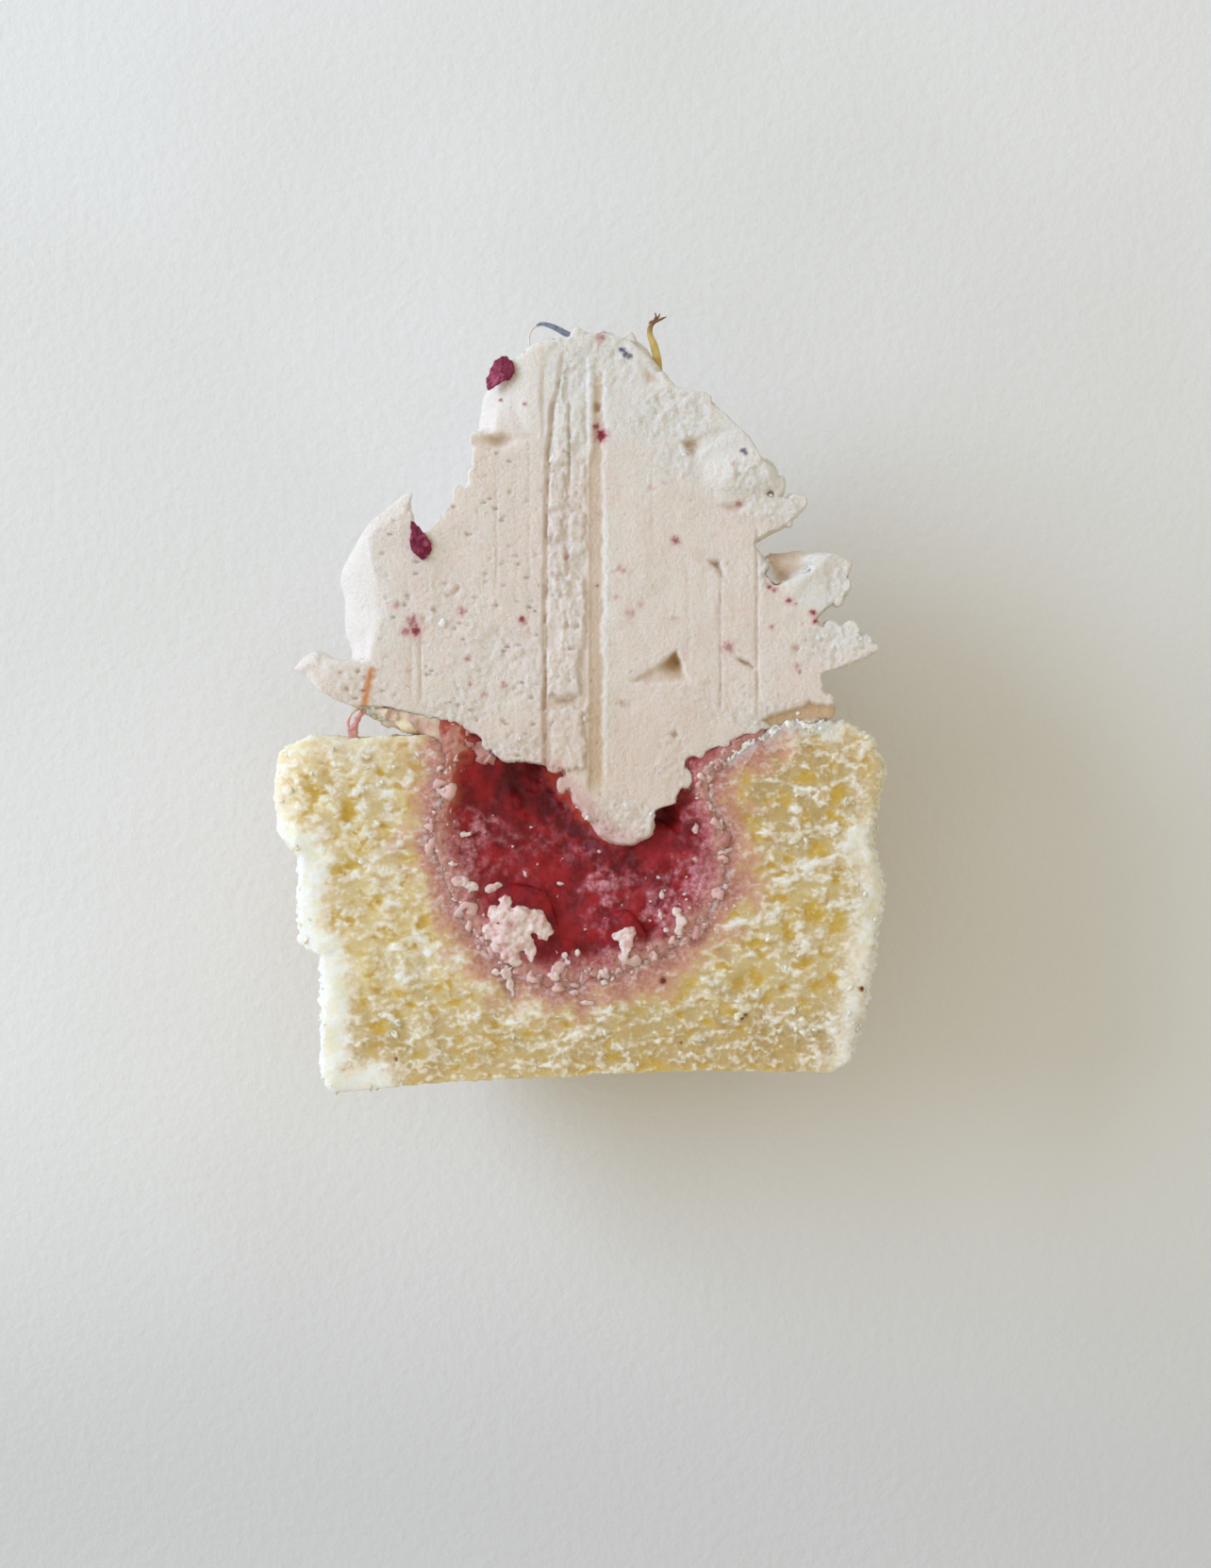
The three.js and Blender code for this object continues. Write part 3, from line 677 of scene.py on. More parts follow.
def paint_sponge(obj):
    """Stores where the crumb is pale, where it gets painted shade in its pores and towards the right and
    the bottom, where its fringe is dry with a painted highlight, and where it is baked, stained or wet.
    """
    spots, normals = spots_of(obj), normals_of(obj)
    x, y, z = spots.T
    cut = eased(z, CUT - 3.6, CUT - 2.2) * eased(normals[:, 2], -0.2, 0.4)
    at_cut = eased(z, CUT - 4, CUT - 2)
    wet = soaked(spots, jam_distance(spots))
    _, pale, pore_shade = crumb_relief(spots[:, :2], wet)
    # the dry fringe, which carries a painted highlight on the lit left side
    dry_lit_fringe = dry_lit_fringe_of(spots, normals, slice(None)) * (1 - wet)
    shoulder = distance_to_path(spots * (1, 1, 0), [(*mark[:2], 0) for mark in RESIDUE[:15]])
    shoulder = 0.85 * (1 - eased(shoulder + 0.9 * rough(spots / 0.9, 56, 3), 0.4, 1.9))
    pale, pore_shade = np.maximum(pale, shoulder), pore_shade * (1 - np.maximum(dry_lit_fringe, shoulder))
    # painted shade: the crumb darkens towards the right, the bottom and the top right, where the light falls
    # off
    falloff_shade = 0.45 * eased(x, -14, 18) + 0.65 * (1 - eased(y, 3, 13))
    falloff_shade += 0.55 * band(x, 10, 18, 27, 31) * eased(y, 23, 30)
    under = eased(-normals[:, 1], 0.55, 0.85) * (1 - cut) * (1 - eased(y, 4, 6))
    shade = 0.3 + 0.7 * eased(x, 0, 20)
    low = 1 - eased(z + 2.5 * rough(spots / 4, 58, 2), CUT - 14, CUT - 3)
    paint(obj, "dry_lit_fringe", at_cut * dry_lit_fringe)
    paint(obj, "falloff_shade", np.clip(falloff_shade, 0, 1) * at_cut)
    paint(obj, "speck", cut * dots(spots, CRUMB_SPECKS, 1.4))
    paint(obj, "pale", cut * pale + (1 - cut) * 0.35 * eased(rough(spots, 50, 3), 0.0, 0.5))
    # painted shade in the pores
    paint(obj, "shaded_pore", cut * pore_shade)
    paint(obj, "side", (1 - cut) * (1 - under) * (1 - 0.6 * at_cut))
    paint(obj, "crust", 0.9 * (1 - cut) * np.maximum(low, 0.5 * shade * (1 - at_cut)))
    paint(obj, "baked", under)
    paint(obj, "soaked", wet)


class CUPCAKE_OT_sponge(bpy.types.Operator):
    """Tears the sponge's cut face into crumb and roughens its sides"""

    bl_idname = "cupcake.sponge"
    bl_label = "Sponge"

    def execute(self, context):
        settings = context.scene.half_cupcake.sponge
        obj = copy_of("sponge", "sponge_crumb")
        modified(obj, "REMESH", mode="VOXEL", voxel_size=settings.grain)
        modified(obj, "SMOOTH", factor=0.5, iterations=4)
        tear_sponge(obj)
        thinned(obj, LARGE_PIECE, lambda s, n: np.clip(0.1 + eased(s[:, 2], CUT - 5, CUT - 3), 0, 0.99))
        paint_sponge(obj)
        finished(obj, make_sponge_material(settings), ["sponge"])
        return {"FINISHED"}


# ---- the jam ----
# Where the jam is clouded with cream and crumb: x, y, half width, half height and how much.
CLOUDS = [
    (-12.6, 27.4, 2.6, 3.6, 0.75), (-14.2, 23.4, 2.4, 2.6, 0.9), (-11.2, 15.6, 3.4, 3.4, 0.9),
    (2.2, 21.6, 2.4, 2.6, 0.95), (13.4, 28.4, 1.6, 3.6, 0.8), (8.8, 19.4, 3.4, 2.6, 0.9),
    (12.6, 22.6, 3.2, 3, 1), (6.4, 13.2, 5.4, 2, 1), (-1.8, 12.2, 4.2, 1.6, 1),
    (-7.2, 26.4, 6.5, 2.6, 0.25), (0.5, 17.5, 3, 2, 0.25), (10.6, 34.6, 2, 2, 0.8),
    (-0.5, 25.2, 3, 1.2, 0.3), (5.5, 21.5, 4, 2.2, 0.4), (-9, 24, 4, 3, 0.3),
]
# Where it is clear and thick enough to look almost black, and where painted shade darkens it under the
# cream's tongue: x, y, half width, half height and how much.
DARK_AND_SHADED_JAM = [
    (-7.8, 33.4, 3.4, 2.4, 0.9), (-4.6, 31.2, 3.6, 2.2, 0.9), (-1.4, 28.4, 3.2, 1.8, 0.8),
    (1.6, 25.6, 2.8, 1.2, 0.7), (9.8, 29.6, 2.1, 2.6, 0.95), (5.4, 25, 2.6, 1.2, 0.8),
    (2.6, 24.4, 2, 0.9, 0.7), (-10.2, 30.6, 1.6, 1.4, 0.3), (15, 38.2, 4, 1.4, 0.5),
]
# The lower left edge of the cream's tongue, where cream and jam run into each other.
TONGUE_EDGE = [(-3.6, 34.4, 0), (-2.4, 32.6, 0), (-0.4, 30.2, 0), (1.6, 28.2, 0), (3.4, 27, 0)]


def jam_surface(xy):
    """How clouded and how deep the jam is at each point; deep also stands for painted shade under the
    cream's tongue.
    """
    shaken = xy + 1.5 * moves(xy, 2.2, 81, 3, 0.6)
    grit = rough(xy / 0.9, 84, 3, 0.6)
    cloud = strongest(shaken, CLOUDS, 0.35, 1.25) * (0.65 + 0.9 * grit) + 0.12 * eased(grit, -0.1, 0.5)
    return np.clip(cloud, 0, 1), strongest(shaken, DARK_AND_SHADED_JAM, 0.25, 1.3)


def jam_rim(spots):
    """How much each point belongs to the jam's edge, where it has run into the crumb, and how far away
    the crumb is."""
    crumb = spots_of(bpy.data.objects["sponge_crumb"])
    away = nearness(spots, crumb[crumb[:, 2] > CUT - 3])
    patchy = 1.6 * waves(spots / 3.2, 88) + 0.9 * rough(spots / 1.1, 86, 3)
    return (1 - eased(away + patchy, 0.0, 3.0)) * (1 - jam_surface(spots[:, :2])[1]), away


def make_jam_material(settings):
    """Seedless red fruit jam, a clear set gel: nearly black where it is thick and where painted shade lies
    under the cream's tongue, clear red where it is thin, mauve where air and cream are smeared into it,
    and wet all over."""
    material, tree = new_material("red fruit jam gel")
    blotch = pattern(tree, 2.2, 5.0, 0.6)
    fine = pattern(tree, 0.35, 4.0, 0.75)
    cloud, rim = read(tree, "cloud"), read(tree, "rim")
    frost = mixed(tree, ranged(tree, fine, 0.35, 0.7), "#B8575F", "#E2A9B0")
    crumbly = layered(
        tree, "#BC6664",
        (ranged(tree, fine, 0.3, 0.7), "#DCAB9D"),
        (ranged(tree, blotch, 0.38, 0.62, 0.0, 0.5), "#B0525C"),
        (read(tree, "amber"), "#BC6148"),
        (ranged(tree, rim, 0.7, 1.0, 0.0, 0.65), "#CFA28E"),
    )
    colour = layered(
        tree, "#780A15",
        (ranged(tree, blotch, 0.38, 0.62), settings.clear),
        # painted shade: thick jam, and the shade under the cream's tongue
        (read(tree, "deep"), settings.deep),
        (ranged(tree, fine, 0.54, 0.78, 0.0, 0.14), "#B8586A"),
        (ranged(tree, cloud, 0.0, 1.0, 0.0, 0.92), frost),
        (rim, crumbly),
        (read(tree, "thin"), "#C4452F"),
    )
    shaded(
        tree, colour, ranged(tree, cloud, 0.0, 1.0, 0.16, 0.45), fine, 0.12,
        scatter=(0.2, (1.0, 0.18, 0.12), 1.4), in_Coat_Weight=0.12, in_Coat_Roughness=0.1, in_IOR=1.4,
        in_Specular_IOR_Level=0.3,
    )
    return material


def swell_jam(obj, swell):
    """Spreads the jam's sides outwards under the crumb."""
    spots, normals = spots_of(obj), normals_of(obj)
    level = np.linalg.norm(normals[:, :2], axis=1)
    sideways = np.where(level > 0.25, swell / MM / np.maximum(level, 0.25), 0)
    spots[:, :2] += normals[:, :2] * sideways[:, None]
    put_spots(obj, spots)


def raise_jam(obj):
    """Gives the jam its lumps, and an edge that stands as high as the crumb and dips under it further out."""
    spots, normals = spots_of(obj), normals_of(obj)
    up = eased(normals[:, 2], 0.3, 0.8)
    xy = spots[:, :2]
    cloud, deep = jam_surface(xy)
    rim, away = jam_rim(spots)
    lumps = 0.22 * rough(xy / 2.4, 70, 3) + cloud * (0.1 + 0.28 * rough(xy / 0.8, 75, 3, 0.6)) - 0.35 * deep
    lumps += rim * (0.25 + 0.25 * rough(xy / 0.9, 77, 3, 0.6))
    spots[:, 2] += up * lumps
    level = CUT + 0.3 * rough(xy / 0.9, 79, 3, 0.6)
    level -= 0.9 * eased(jam_distance(spots), 0.4, 1.2)
    raised = up * np.maximum(rim, 1 - eased(away, 0.5, 1.8)) * eased(spots[:, 2], CUT - 4, CUT - 2)
    spots[:, 2] += raised * np.maximum(level - spots[:, 2], 0)
    put_spots(obj, spots)


def paint_jam(obj):
    """Stores where the jam is clouded, deep and painted dark with shade under the cream's tongue, thin,
    amber or run into the crumb.
    """
    spots = spots_of(obj)
    cloud, deep = jam_surface(spots[:, :2])
    rim, away = jam_rim(spots)
    flat = spots * (1, 1, 0)
    edge = distance_to_path(flat, TONGUE_EDGE)
    paint(obj, "rim", np.maximum(rim, 0.9 - 0.9 * eased(away, 0.5, 1.8)))
    paint(obj, "seam", 1 - eased(away, 0.15, 0.45))
    paint(obj, "cloud", cloud)
    paint(obj, "deep", deep)
    paint(obj, "thin", 0.8 * (1 - eased(edge + 0.5 * rough(flat / 0.8, 89, 2), 0.3, 1.7)))
    paint(obj, "amber", eased(flat[:, 1] + rough(flat / 2, 87, 2), 26, 31) * (1 - eased(flat[:, 0], -11, -7)))


class CUPCAKE_OT_jam(bpy.types.Operator):
    """Swells the jam until it meets the crumb and gives it a wet, lumpy surface"""

    bl_idname = "cupcake.jam"
    bl_label = "Jam"

    def execute(self, context):
        settings = context.scene.half_cupcake.jam
        obj = copy_of("jam", "jam_filling")
        swell_jam(obj, settings.swell)
        modified(obj, "REMESH", mode="VOXEL", voxel_size=settings.grain)
        modified(obj, "SMOOTH", factor=0.5, iterations=6)
        raise_jam(obj)
        thinned(obj, JAM_PIECE, lambda s, n: np.clip(0.1 + eased(s[:, 2], CUT - 6, CUT - 4), 0, 0.99))
        paint_jam(obj)
        finished(obj, make_jam_material(settings), ["jam"])
        return {"FINISHED"}


# ---- the cream ----
# Hollows that the cut opened between the cream's folds: an outline, its deepest point, a depth and how far
# the edge slopes.
HOLLOWS = [
    (
        [(10.3, 47.9), (7.9, 46.2), (4.8, 44.4), (7.3, 44.1), (11.8, 44.4), (11, 45.8)], (10.4, 47.2), 1.9,
        0.5,
    ),
    (
        [(10.4, 71.3), (12.4, 71.8), (14.8, 72.8), (16.7, 72.3), (14.8, 70.8), (13.3, 70), (12.1, 68.7)],
        (11.3, 70.9), 1.1, 0.8,
    ),
    (
        [(-13, 71.9), (-10.5, 72.3), (-5, 72.3), (-5.2, 71.3), (-7.1, 70.7), (-9.4, 70), (-12.8, 70.4)],
        (-9.4, 71.8), 1.1, 1,
    ),
    ([(6, 80.3), (8.1, 79.1), (9.7, 77.3), (6.7, 77.2), (6.4, 78.2)], (7.3, 78), 0.8, 0.9),
    (
        [(13.5, 58), (15.3, 58), (15.2, 57.1), (16.3, 55.2), (15.7, 55.2), (14.9, 56.6)], (14.9, 57.5), 1,
        0.5,
    ),
    (
        [(16.7, 47.1), (17.4, 47), (18.4, 46.6), (19.2, 46.1), (18.9, 45.7), (17.2, 46.5)], (18.1, 46.5),
        0.8, 0.3,
    ),
    (
        [(13.9, 64.2), (16.6, 64.4), (18.9, 64.8), (18.4, 63.7), (17.1, 63), (14.3, 63.4)], (16.6, 64), 0.6,
        0.6,
    ),
    ([(22.9, 48.1), (23.7, 48.5), (24.3, 48.1), (23.7, 47.7)], (23.5, 48.1), 0.5, 0.3),
    ([(-14.9, 54.3), (-14.1, 55.2), (-13.7, 54.9), (-14.8, 53.3)], (-14.3, 54.3), 0.4, 0.3),
    ([(-2.1, 56), (-0.8, 55.8), (-0.6, 54.5), (-1.7, 54.3)], (-1.5, 55), 0.4, 0.3),
    ([(-3.8, 42.8), (-2.1, 42.5), (-0.4, 43.3), (-0.8, 41.7), (-3.6, 41.9)], (-2.1, 42.3), 0.4, 0.3),
    ([(0.8, 75.7), (1.9, 75.3), (1.8, 74.4), (0.8, 74.4)], (1.3, 74.9), 0.5, 0.4),
    ([(2.1, 56.6), (3.4, 56.8), (4.4, 57.9), (4.2, 57.2), (3.5, 56.3)], (3.7, 57), 0.3, 0.3),
    ([(3.7, 42.4), (5.2, 42.1), (5.5, 41.3), (4.2, 41.5)], (4.6, 41.8), 0.3, 0.3),
    ([(9.6, 38.6), (10.3, 38.9), (10.5, 38.2), (9.8, 38)], (10, 38.4), 0.5, 0.3),
    ([(-17.6, 60.9), (-17.1, 59.8), (-17.6, 58.3), (-18.5, 58.1)], (-17.8, 58.8), 0.4, 0.5),
]
STRIP = -0.32  # how far the torn strip beside the knife's deepest furrow lies below the cut
# Flakes that stand up in it: from x to x, from y to y, height.
PATCHES = [
    (-3.5, -1.7, 68.6, 75.6, 0.35), (-4.2, -2.1, 63.4, 67.7, 0.4), (-4.4, -2.2, 60.2, 63.2, 0.35),
    (-4.3, -2.1, 56.2, 59.8, 0.4), (-1.8, 0.2, 63.7, 70.3, 0.15), (-1.9, 0.2, 58.1, 63.3, 0.3),
    (-3.8, 0, 54.1, 56, 0.45), (-4.7, 0.1, 50.5, 53.9, 0.4), (-2.9, 0.2, 47.8, 50.5, 0.3),
    (-4.3, -0.6, 42.9, 48, 0.45), (-3.9, 0.1, 34.6, 41.5, 0.45), (-3.9, -2.1, 75.6, 80.3, 0.3),
    (-1.7, 0.1, 70.9, 76.1, 0.2),
]
# The deepest furrow, from top to bottom: x, y and half width.
FURROW = [
    (-2.4, 80.8, 0.15), (-2.6, 79.3, 0.24), (-2.9, 77.2, 0.28), (-3.6, 75.1, 0.26), (-4.1, 69.8, 0.24),
    (-4.3, 63.5, 0.2), (-4.4, 57.2, 0.18), (-4.5, 50.9, 0.34), (-4.5, 46.7, 0.18), (-4.5, 38.3, 0.22),
    (-4.4, 31, 0.2),
]
# Finer lines that it drew: x, from y to y, half width, depth.
LINES = [
    (-9.8, 53, 66.5, 0.14, 0.1), (-18.3, 42.4, 49.8, 0.16, 0.2), (-19.3, 42.4, 49, 0.13, 0.12),
    (-6.2, 50, 75, 0.16, 0.07), (-7.6, 52, 70, 0.2, 0.05), (15.1, 41, 57.5, 0.13, 0.14),
    (19.2, 41.5, 61.5, 0.16, 0.2), (-1.8, 66, 75, 0.12, 0.25), (7.6, 60, 68, 0.2, 0.07),
    (11.6, 48, 58, 0.2, 0.06),
]
# Where the cream tore and clotted instead of being cut smooth: x, y, half width, half height and how much.
CLOTS = [
    (10, 74, 5, 4, 0.8), (18.6, 67.4, 4, 2.6, 0.9), (21, 63.6, 4, 2.2, 0.6), (28.2, 55.2, 1.6, 3.2, 0.8),
    (28, 48.4, 5, 2.6, 0.8), (21, 40.5, 8, 1.8, 0.8), (-9, 46, 7, 6, 0.55), (-14, 41.5, 5, 3, 0.6),
    (-7.5, 37.2, 4, 1.8, 1), (-2.2, 56, 2.4, 24, 0.5), (4, 29, 5, 3, 0.8), (-14, 52, 5, 4, 0.35),
    (10, 35, 3, 5, 0.4), (0.6, 80, 6, 4, 0.6), (20.4, 57.2, 1.4, 2.6, 0.9), (10.6, 69, 3, 2.4, 0.8),
    (-25, 44, 4, 3, 0.4), (15, 43, 6, 2, 0.4),
]
# Specks of fruit stirred into the cream: x, y, radius and how dark.
SPECKS = [
    (1.8, 71.8, 0.9, 1), (1.3, 72.8, 0.5, 0.8), (-19.2, 51.2, 0.9, 0.6), (-18.8, 50.1, 0.9, 0.95),
    (-19.9, 50, 0.7, 0.6), (-7, 51.3, 0.5, 0.85), (-13.7, 52.2, 0.6, 0.55), (10.1, 60.1, 0.6, 0.8),
    (4.2, 56.8, 0.5, 0.5), (1.4, 55.1, 0.3, 0.7), (20.5, 55, 0.4, 0.9), (21.1, 54.6, 0.4, 0.7),
    (22.7, 53.4, 0.5, 0.8), (23.4, 53, 0.3, 0.6), (17.2, 64.2, 0.5, 0.55), (25.4, 52, 0.5, 1),
    (25.7, 51.1, 0.4, 1), (20.8, 50.4, 0.4, 0.5), (23.7, 46.2, 0.4, 0.7), (23.9, 45.5, 0.3, 0.6),
    (16, 48.2, 0.9, 0.5), (-13, 47, 0.4, 0.75), (-12.8, 44.1, 0.3, 0.6), (-9, 44, 0.6, 0.4),
    (-11.3, 43, 0.5, 0.35), (-6.8, 81.2, 0.2, 0.6), (1.7, 82.7, 0.7, 0.5), (17.7, 70, 0.4, 0.55),
    (16.6, 68.6, 0.4, 0.4), (6.2, 53, 0.5, 0.25), (5, 52, 0.8, 0.25), (10, 51.4, 0.6, 0.2),
    (3.5, 53.8, 0.4, 0.25), (-2, 58.3, 0.4, 0.35), (-21, 52.9, 0.6, 0.35), (-9.4, 75.9, 0.3, 0.8),
    (-6.7, 75.3, 0.3, 0.7), (7.3, 66, 0.4, 0.2), (8.8, 66.5, 0.3, 0.25),
]
# Scraps of blue petal stirred into the cream: x, y and radius.
SLATE_SPECKS = [(4.1, 81.4, 0.35), (4.5, 80.8, 0.4), (5, 80.5, 0.3), (17.5, 70.1, 0.3), (17.9, 69.8, 0.25)]


def petal_brink(y):
    """Where the cut ends and the left petal's piped outside begins, at each height up the cake."""
    along = (47.5, 50.9, 52.5, 55, 58.2, 60.5, 61.8, 63.4, 65)
    return np.interp(y, along, (-23.5, -22.8, -22, -23.1, -23.8, -24.1, -22.6, -19.9, -19))


def cream_relief(xy, furrow_depth):
    """Height in mm over the cut of each point of the cream, how deep it is in a furrow or hollow, which
    sets its painted shade, and how clotted it is."""
    x, y = xy.T
    grain = rough(xy / 0.5, 100, 2, 0.6)
    frayed = rough(xy / (0.7, 0.9), 92, 2, 0.6)
    middles, heights, halves = np.array(FURROW).T
    furrow_x = np.interp(-y, -heights, middles) + 0.14 * wander(y, 1.4, 97) + 0.1 * frayed
    furrow_half = np.interp(-y, -heights, halves) * (0.75 + 0.5 * frayed)
    furrow = 1 - eased(np.abs(x - furrow_x), 0.4 * furrow_half, furrow_half + 0.2)
    furrow *= band(y, 30, 33, 80.2, 81.5) * furrow_depth
    furrow *= 0.5 + 0.5 * eased(wander(y, 2.2, 90, 3), -0.25, 0.3)
    for line_x, low, high, half, deep in LINES:
        away = np.abs(x - line_x - 0.12 * wander(y, 5, 91, row=line_x))
        ends = band(y, low - 1.5, low + 1.5, high - 1.5, high + 1.5)
        furrow = np.maximum(furrow, deep * ends * (1 - eased(away, 0.3 * half, 1.6 * half)))
    # the strip to the right of the furrow is sunk, with flakes standing on it
    strip = band(x, furrow_x, furrow_x + 0.3, 0.1, 0.5) * band(y, 33, 35, 79, 82)
    flake = np.full(len(xy), STRIP)
    for x0, x1, y0, y1, tall in PATCHES:
        inside = np.minimum(np.minimum(x - x0, x1 - x), np.minimum(y - y0, y1 - y)) + 0.5 * frayed
        flake = np.maximum(flake, STRIP + tall * eased(inside, -0.05, 0.4))
    # a smooth trough runs down beside the strip, with a bright lip along its far edge
    narrow = 0.6 * eased(y, 68, 71)
    far = x + 0.25 * wander(y, 3.5, 93) + 0.2 * frayed
    trough = eased(x, 0.1 + narrow, 0.7 + narrow) * (1 - eased(far, 1.7, 2.3)) * band(y, 31, 34, 77, 81)
    lip = np.exp(-(((x - 2.45) / 0.3) ** 2)) * band(y, 31, 34, 55, 66) * (0.4 + 1.2 * frayed)
    sunk = np.zeros(len(xy))
    shaken = xy + 0.16 * moves(xy, 0.8, 94)
    for outline, deepest, depth, slope in HOLLOWS:
        inside = eased(depth_inside(shaken, outline), -0.15, slope)
        away = np.hypot(x - deepest[0], y - deepest[1]) / (1.2 + 0.6 * depth)
        sunk = np.maximum(sunk, depth * inside * (0.22 + 0.78 * (1 - eased(away, 0.1, 1.3))))
    clot = strongest(xy, CLOTS, 0.5, 1.2)
    pits, _, luck = cells(xy / 0.8, 96)
    slits, _, slit_luck = cells(xy / (1.7, 0.7), 106)
    slits = (1 - eased(slits + 0.12 * frayed, 0.06, 0.28)) * eased(slit_luck, 0.66, 0.9)
    pitted = 0.12 * (1 - eased(pits, 0.08, 0.3)) * eased(luck, 0.82, 0.97)
    pitted += 0.36 * slits * (1 - eased(x, -6, -3))
    drag = 0.014 * waves(xy / (0.28, 7), 98) + 0.03 * waves(xy / (0.8, 11), 99)
    swell = 0.2 * waves(xy / (6, 9), 103) + 0.09 * waves(xy / 2.6, 104)
    clods = eased(rough(xy / (1.5, 1.1), 107, 3, 0.6), -0.15, 0.35)
    torn = clot * (0.2 * clods + 0.15 * grain - 0.12)
    strip_clods = rough(xy / (0.7, 0.9), 117, 3, 0.65)
    crest = np.exp(-((distance_to_path(xy, RIDGE_CREST) / 0.8) ** 2))
    lobe = 0.9 * eased(y, 64.5, 66) * (1 - eased(reach(xy, 18.2, 67.5, 5.4, 3.1), 0.35, 1.05))
    below = eased(depth_inside(shaken, UNDERSIDE), -0.2, 0.3)
    depth = furrow + 0.8 * trough + sunk - 0.6 * strip * np.minimum(flake, 0) + 1.1 * below
    height = strip * (flake + 0.11 * strip_clods) - furrow - 0.34 * trough - sunk - 0.5 * below
    height += 0.1 * lip + 0.3 * crest + torn * (1 - below) + drag + swell + 0.05 * grain - pitted + lobe
    return height, np.clip(depth / 2.4 + 0.4 * pitted, 0, 1), clot


def kept_round(xy):
    """Where the cream keeps its own rounding instead of being cut flat: on the dome, the petal and the
    arm's tip."""
    x, y = xy.T
    dome = eased(y, 71.6, 72.6) * np.maximum(eased(-x, 4, 5.4), eased(x, 5.4, 6.4) * eased(y, 76.4, 77.6))
    petal = eased(petal_brink(y) - x, -0.1, 0.5) * eased(y, 46, 48)
    return np.maximum(np.maximum(dome, petal), (1 - eased(y, 49, 51)) * eased(-x, 28.4, 29.6))


def make_cream_material(settings):
    """Whipped buttercream, sugar beaten into butter: soft and matt with a waxy sheen, ivory outside, with a
    warmer, darker painted shade down in furrows and hollows for light that bounces through the fat, and
    painted highlights on its brighter places."""
    material, tree = new_material("whipped buttercream")
    patchy = pattern(tree, 6.0, 3.0)
    tint = pattern(tree, 2.5, 3.0)
    fine = pattern(tree, 0.42, 5.0, 0.7)
    deep = read(tree, "deep")
    colour = layered(
        tree, settings.ivory,
        (ranged(tree, patchy, 0.38, 0.62), "#FFEADC"),
        (ranged(tree, tint, 0.56, 0.74, 0.0, 0.3), "#F2CFC5"),
        (read(tree, "skin"), "#FFF2E6"),
        (ranged(tree, read(tree, "clotted"), 0.1, 0.9, 0.0, 0.5), "#FCF2E8"),
        # painted highlights
        (read(tree, "painted_highlight"), "#FFF7ED"),
        (ranged(tree, fine, 0.5, 0.7, 0.0, 0.65), "#FFFAF2"),
        (ranged(tree, fine, 0.3, 0.5, 0.3, 0.0), "#EAD8C7"),
        # painted shade in furrows, hollows, the fold and the underside, warmer and darker the deeper
        (ranged(tree, deep, 0.07, 0.42, 0.0, 0.85), "#E9D3B8"),
        (ranged(tree, deep, 0.35, 0.75, 0.0, 0.9), settings.hollow),
        (ranged(tree, deep, 0.75, 1.0, 0.0, 0.9), "#BC8546"),
        (read(tree, "blush"), "#DC9497"),
        (read(tree, "amber"), "#E29A60"),
        (read(tree, "fruit"), "#9C2C3E"),
        (read(tree, "slate"), "#6E7187"),
    )
    shaded(
        tree, colour, 0.58, fine, 0.42, scatter=(0.4, (1.0, 0.65, 0.4), 1.4), in_Specular_IOR_Level=0.35
    )
    return material


# The fold that shows behind the third ridge, and the underside below the cut's right end, which both
# get an ochre painted shade.
BEHIND = [
    (19.4, 59.6), (28.4, 61), (27.2, 58.5), (25.5, 57.2), (24.5, 56.5), (23.4, 55.9), (22.6, 55),
    (21, 56.6),
]
UNDERSIDE = [
    (19.4, 40.1), (21.6, 41), (24.3, 41.7), (25, 42.3), (26.2, 41.9), (28.2, 41.8), (28, 40.4),
    (24.2, 39.9), (21, 39.3),
]
RIDGE_CREST = [(27.2, 58.4), (25.7, 57), (24.4, 56), (23.2, 54.8)]
STREAK = [(-23.8, 45.6, 0), (-24.2, 43.6, 0), (-24.7, 41.6, 0)]  # an amber stain at the left
# Painted highlights on the cream: x, y, half width, half height and how much.
HIGHLIGHT_PATCHES = [(18.6, 67.2, 5.4, 3.4, 0.8), (23, 64.2, 3.6, 2, 0.8), (29.6, 49.6, 4, 2, 0.8)]
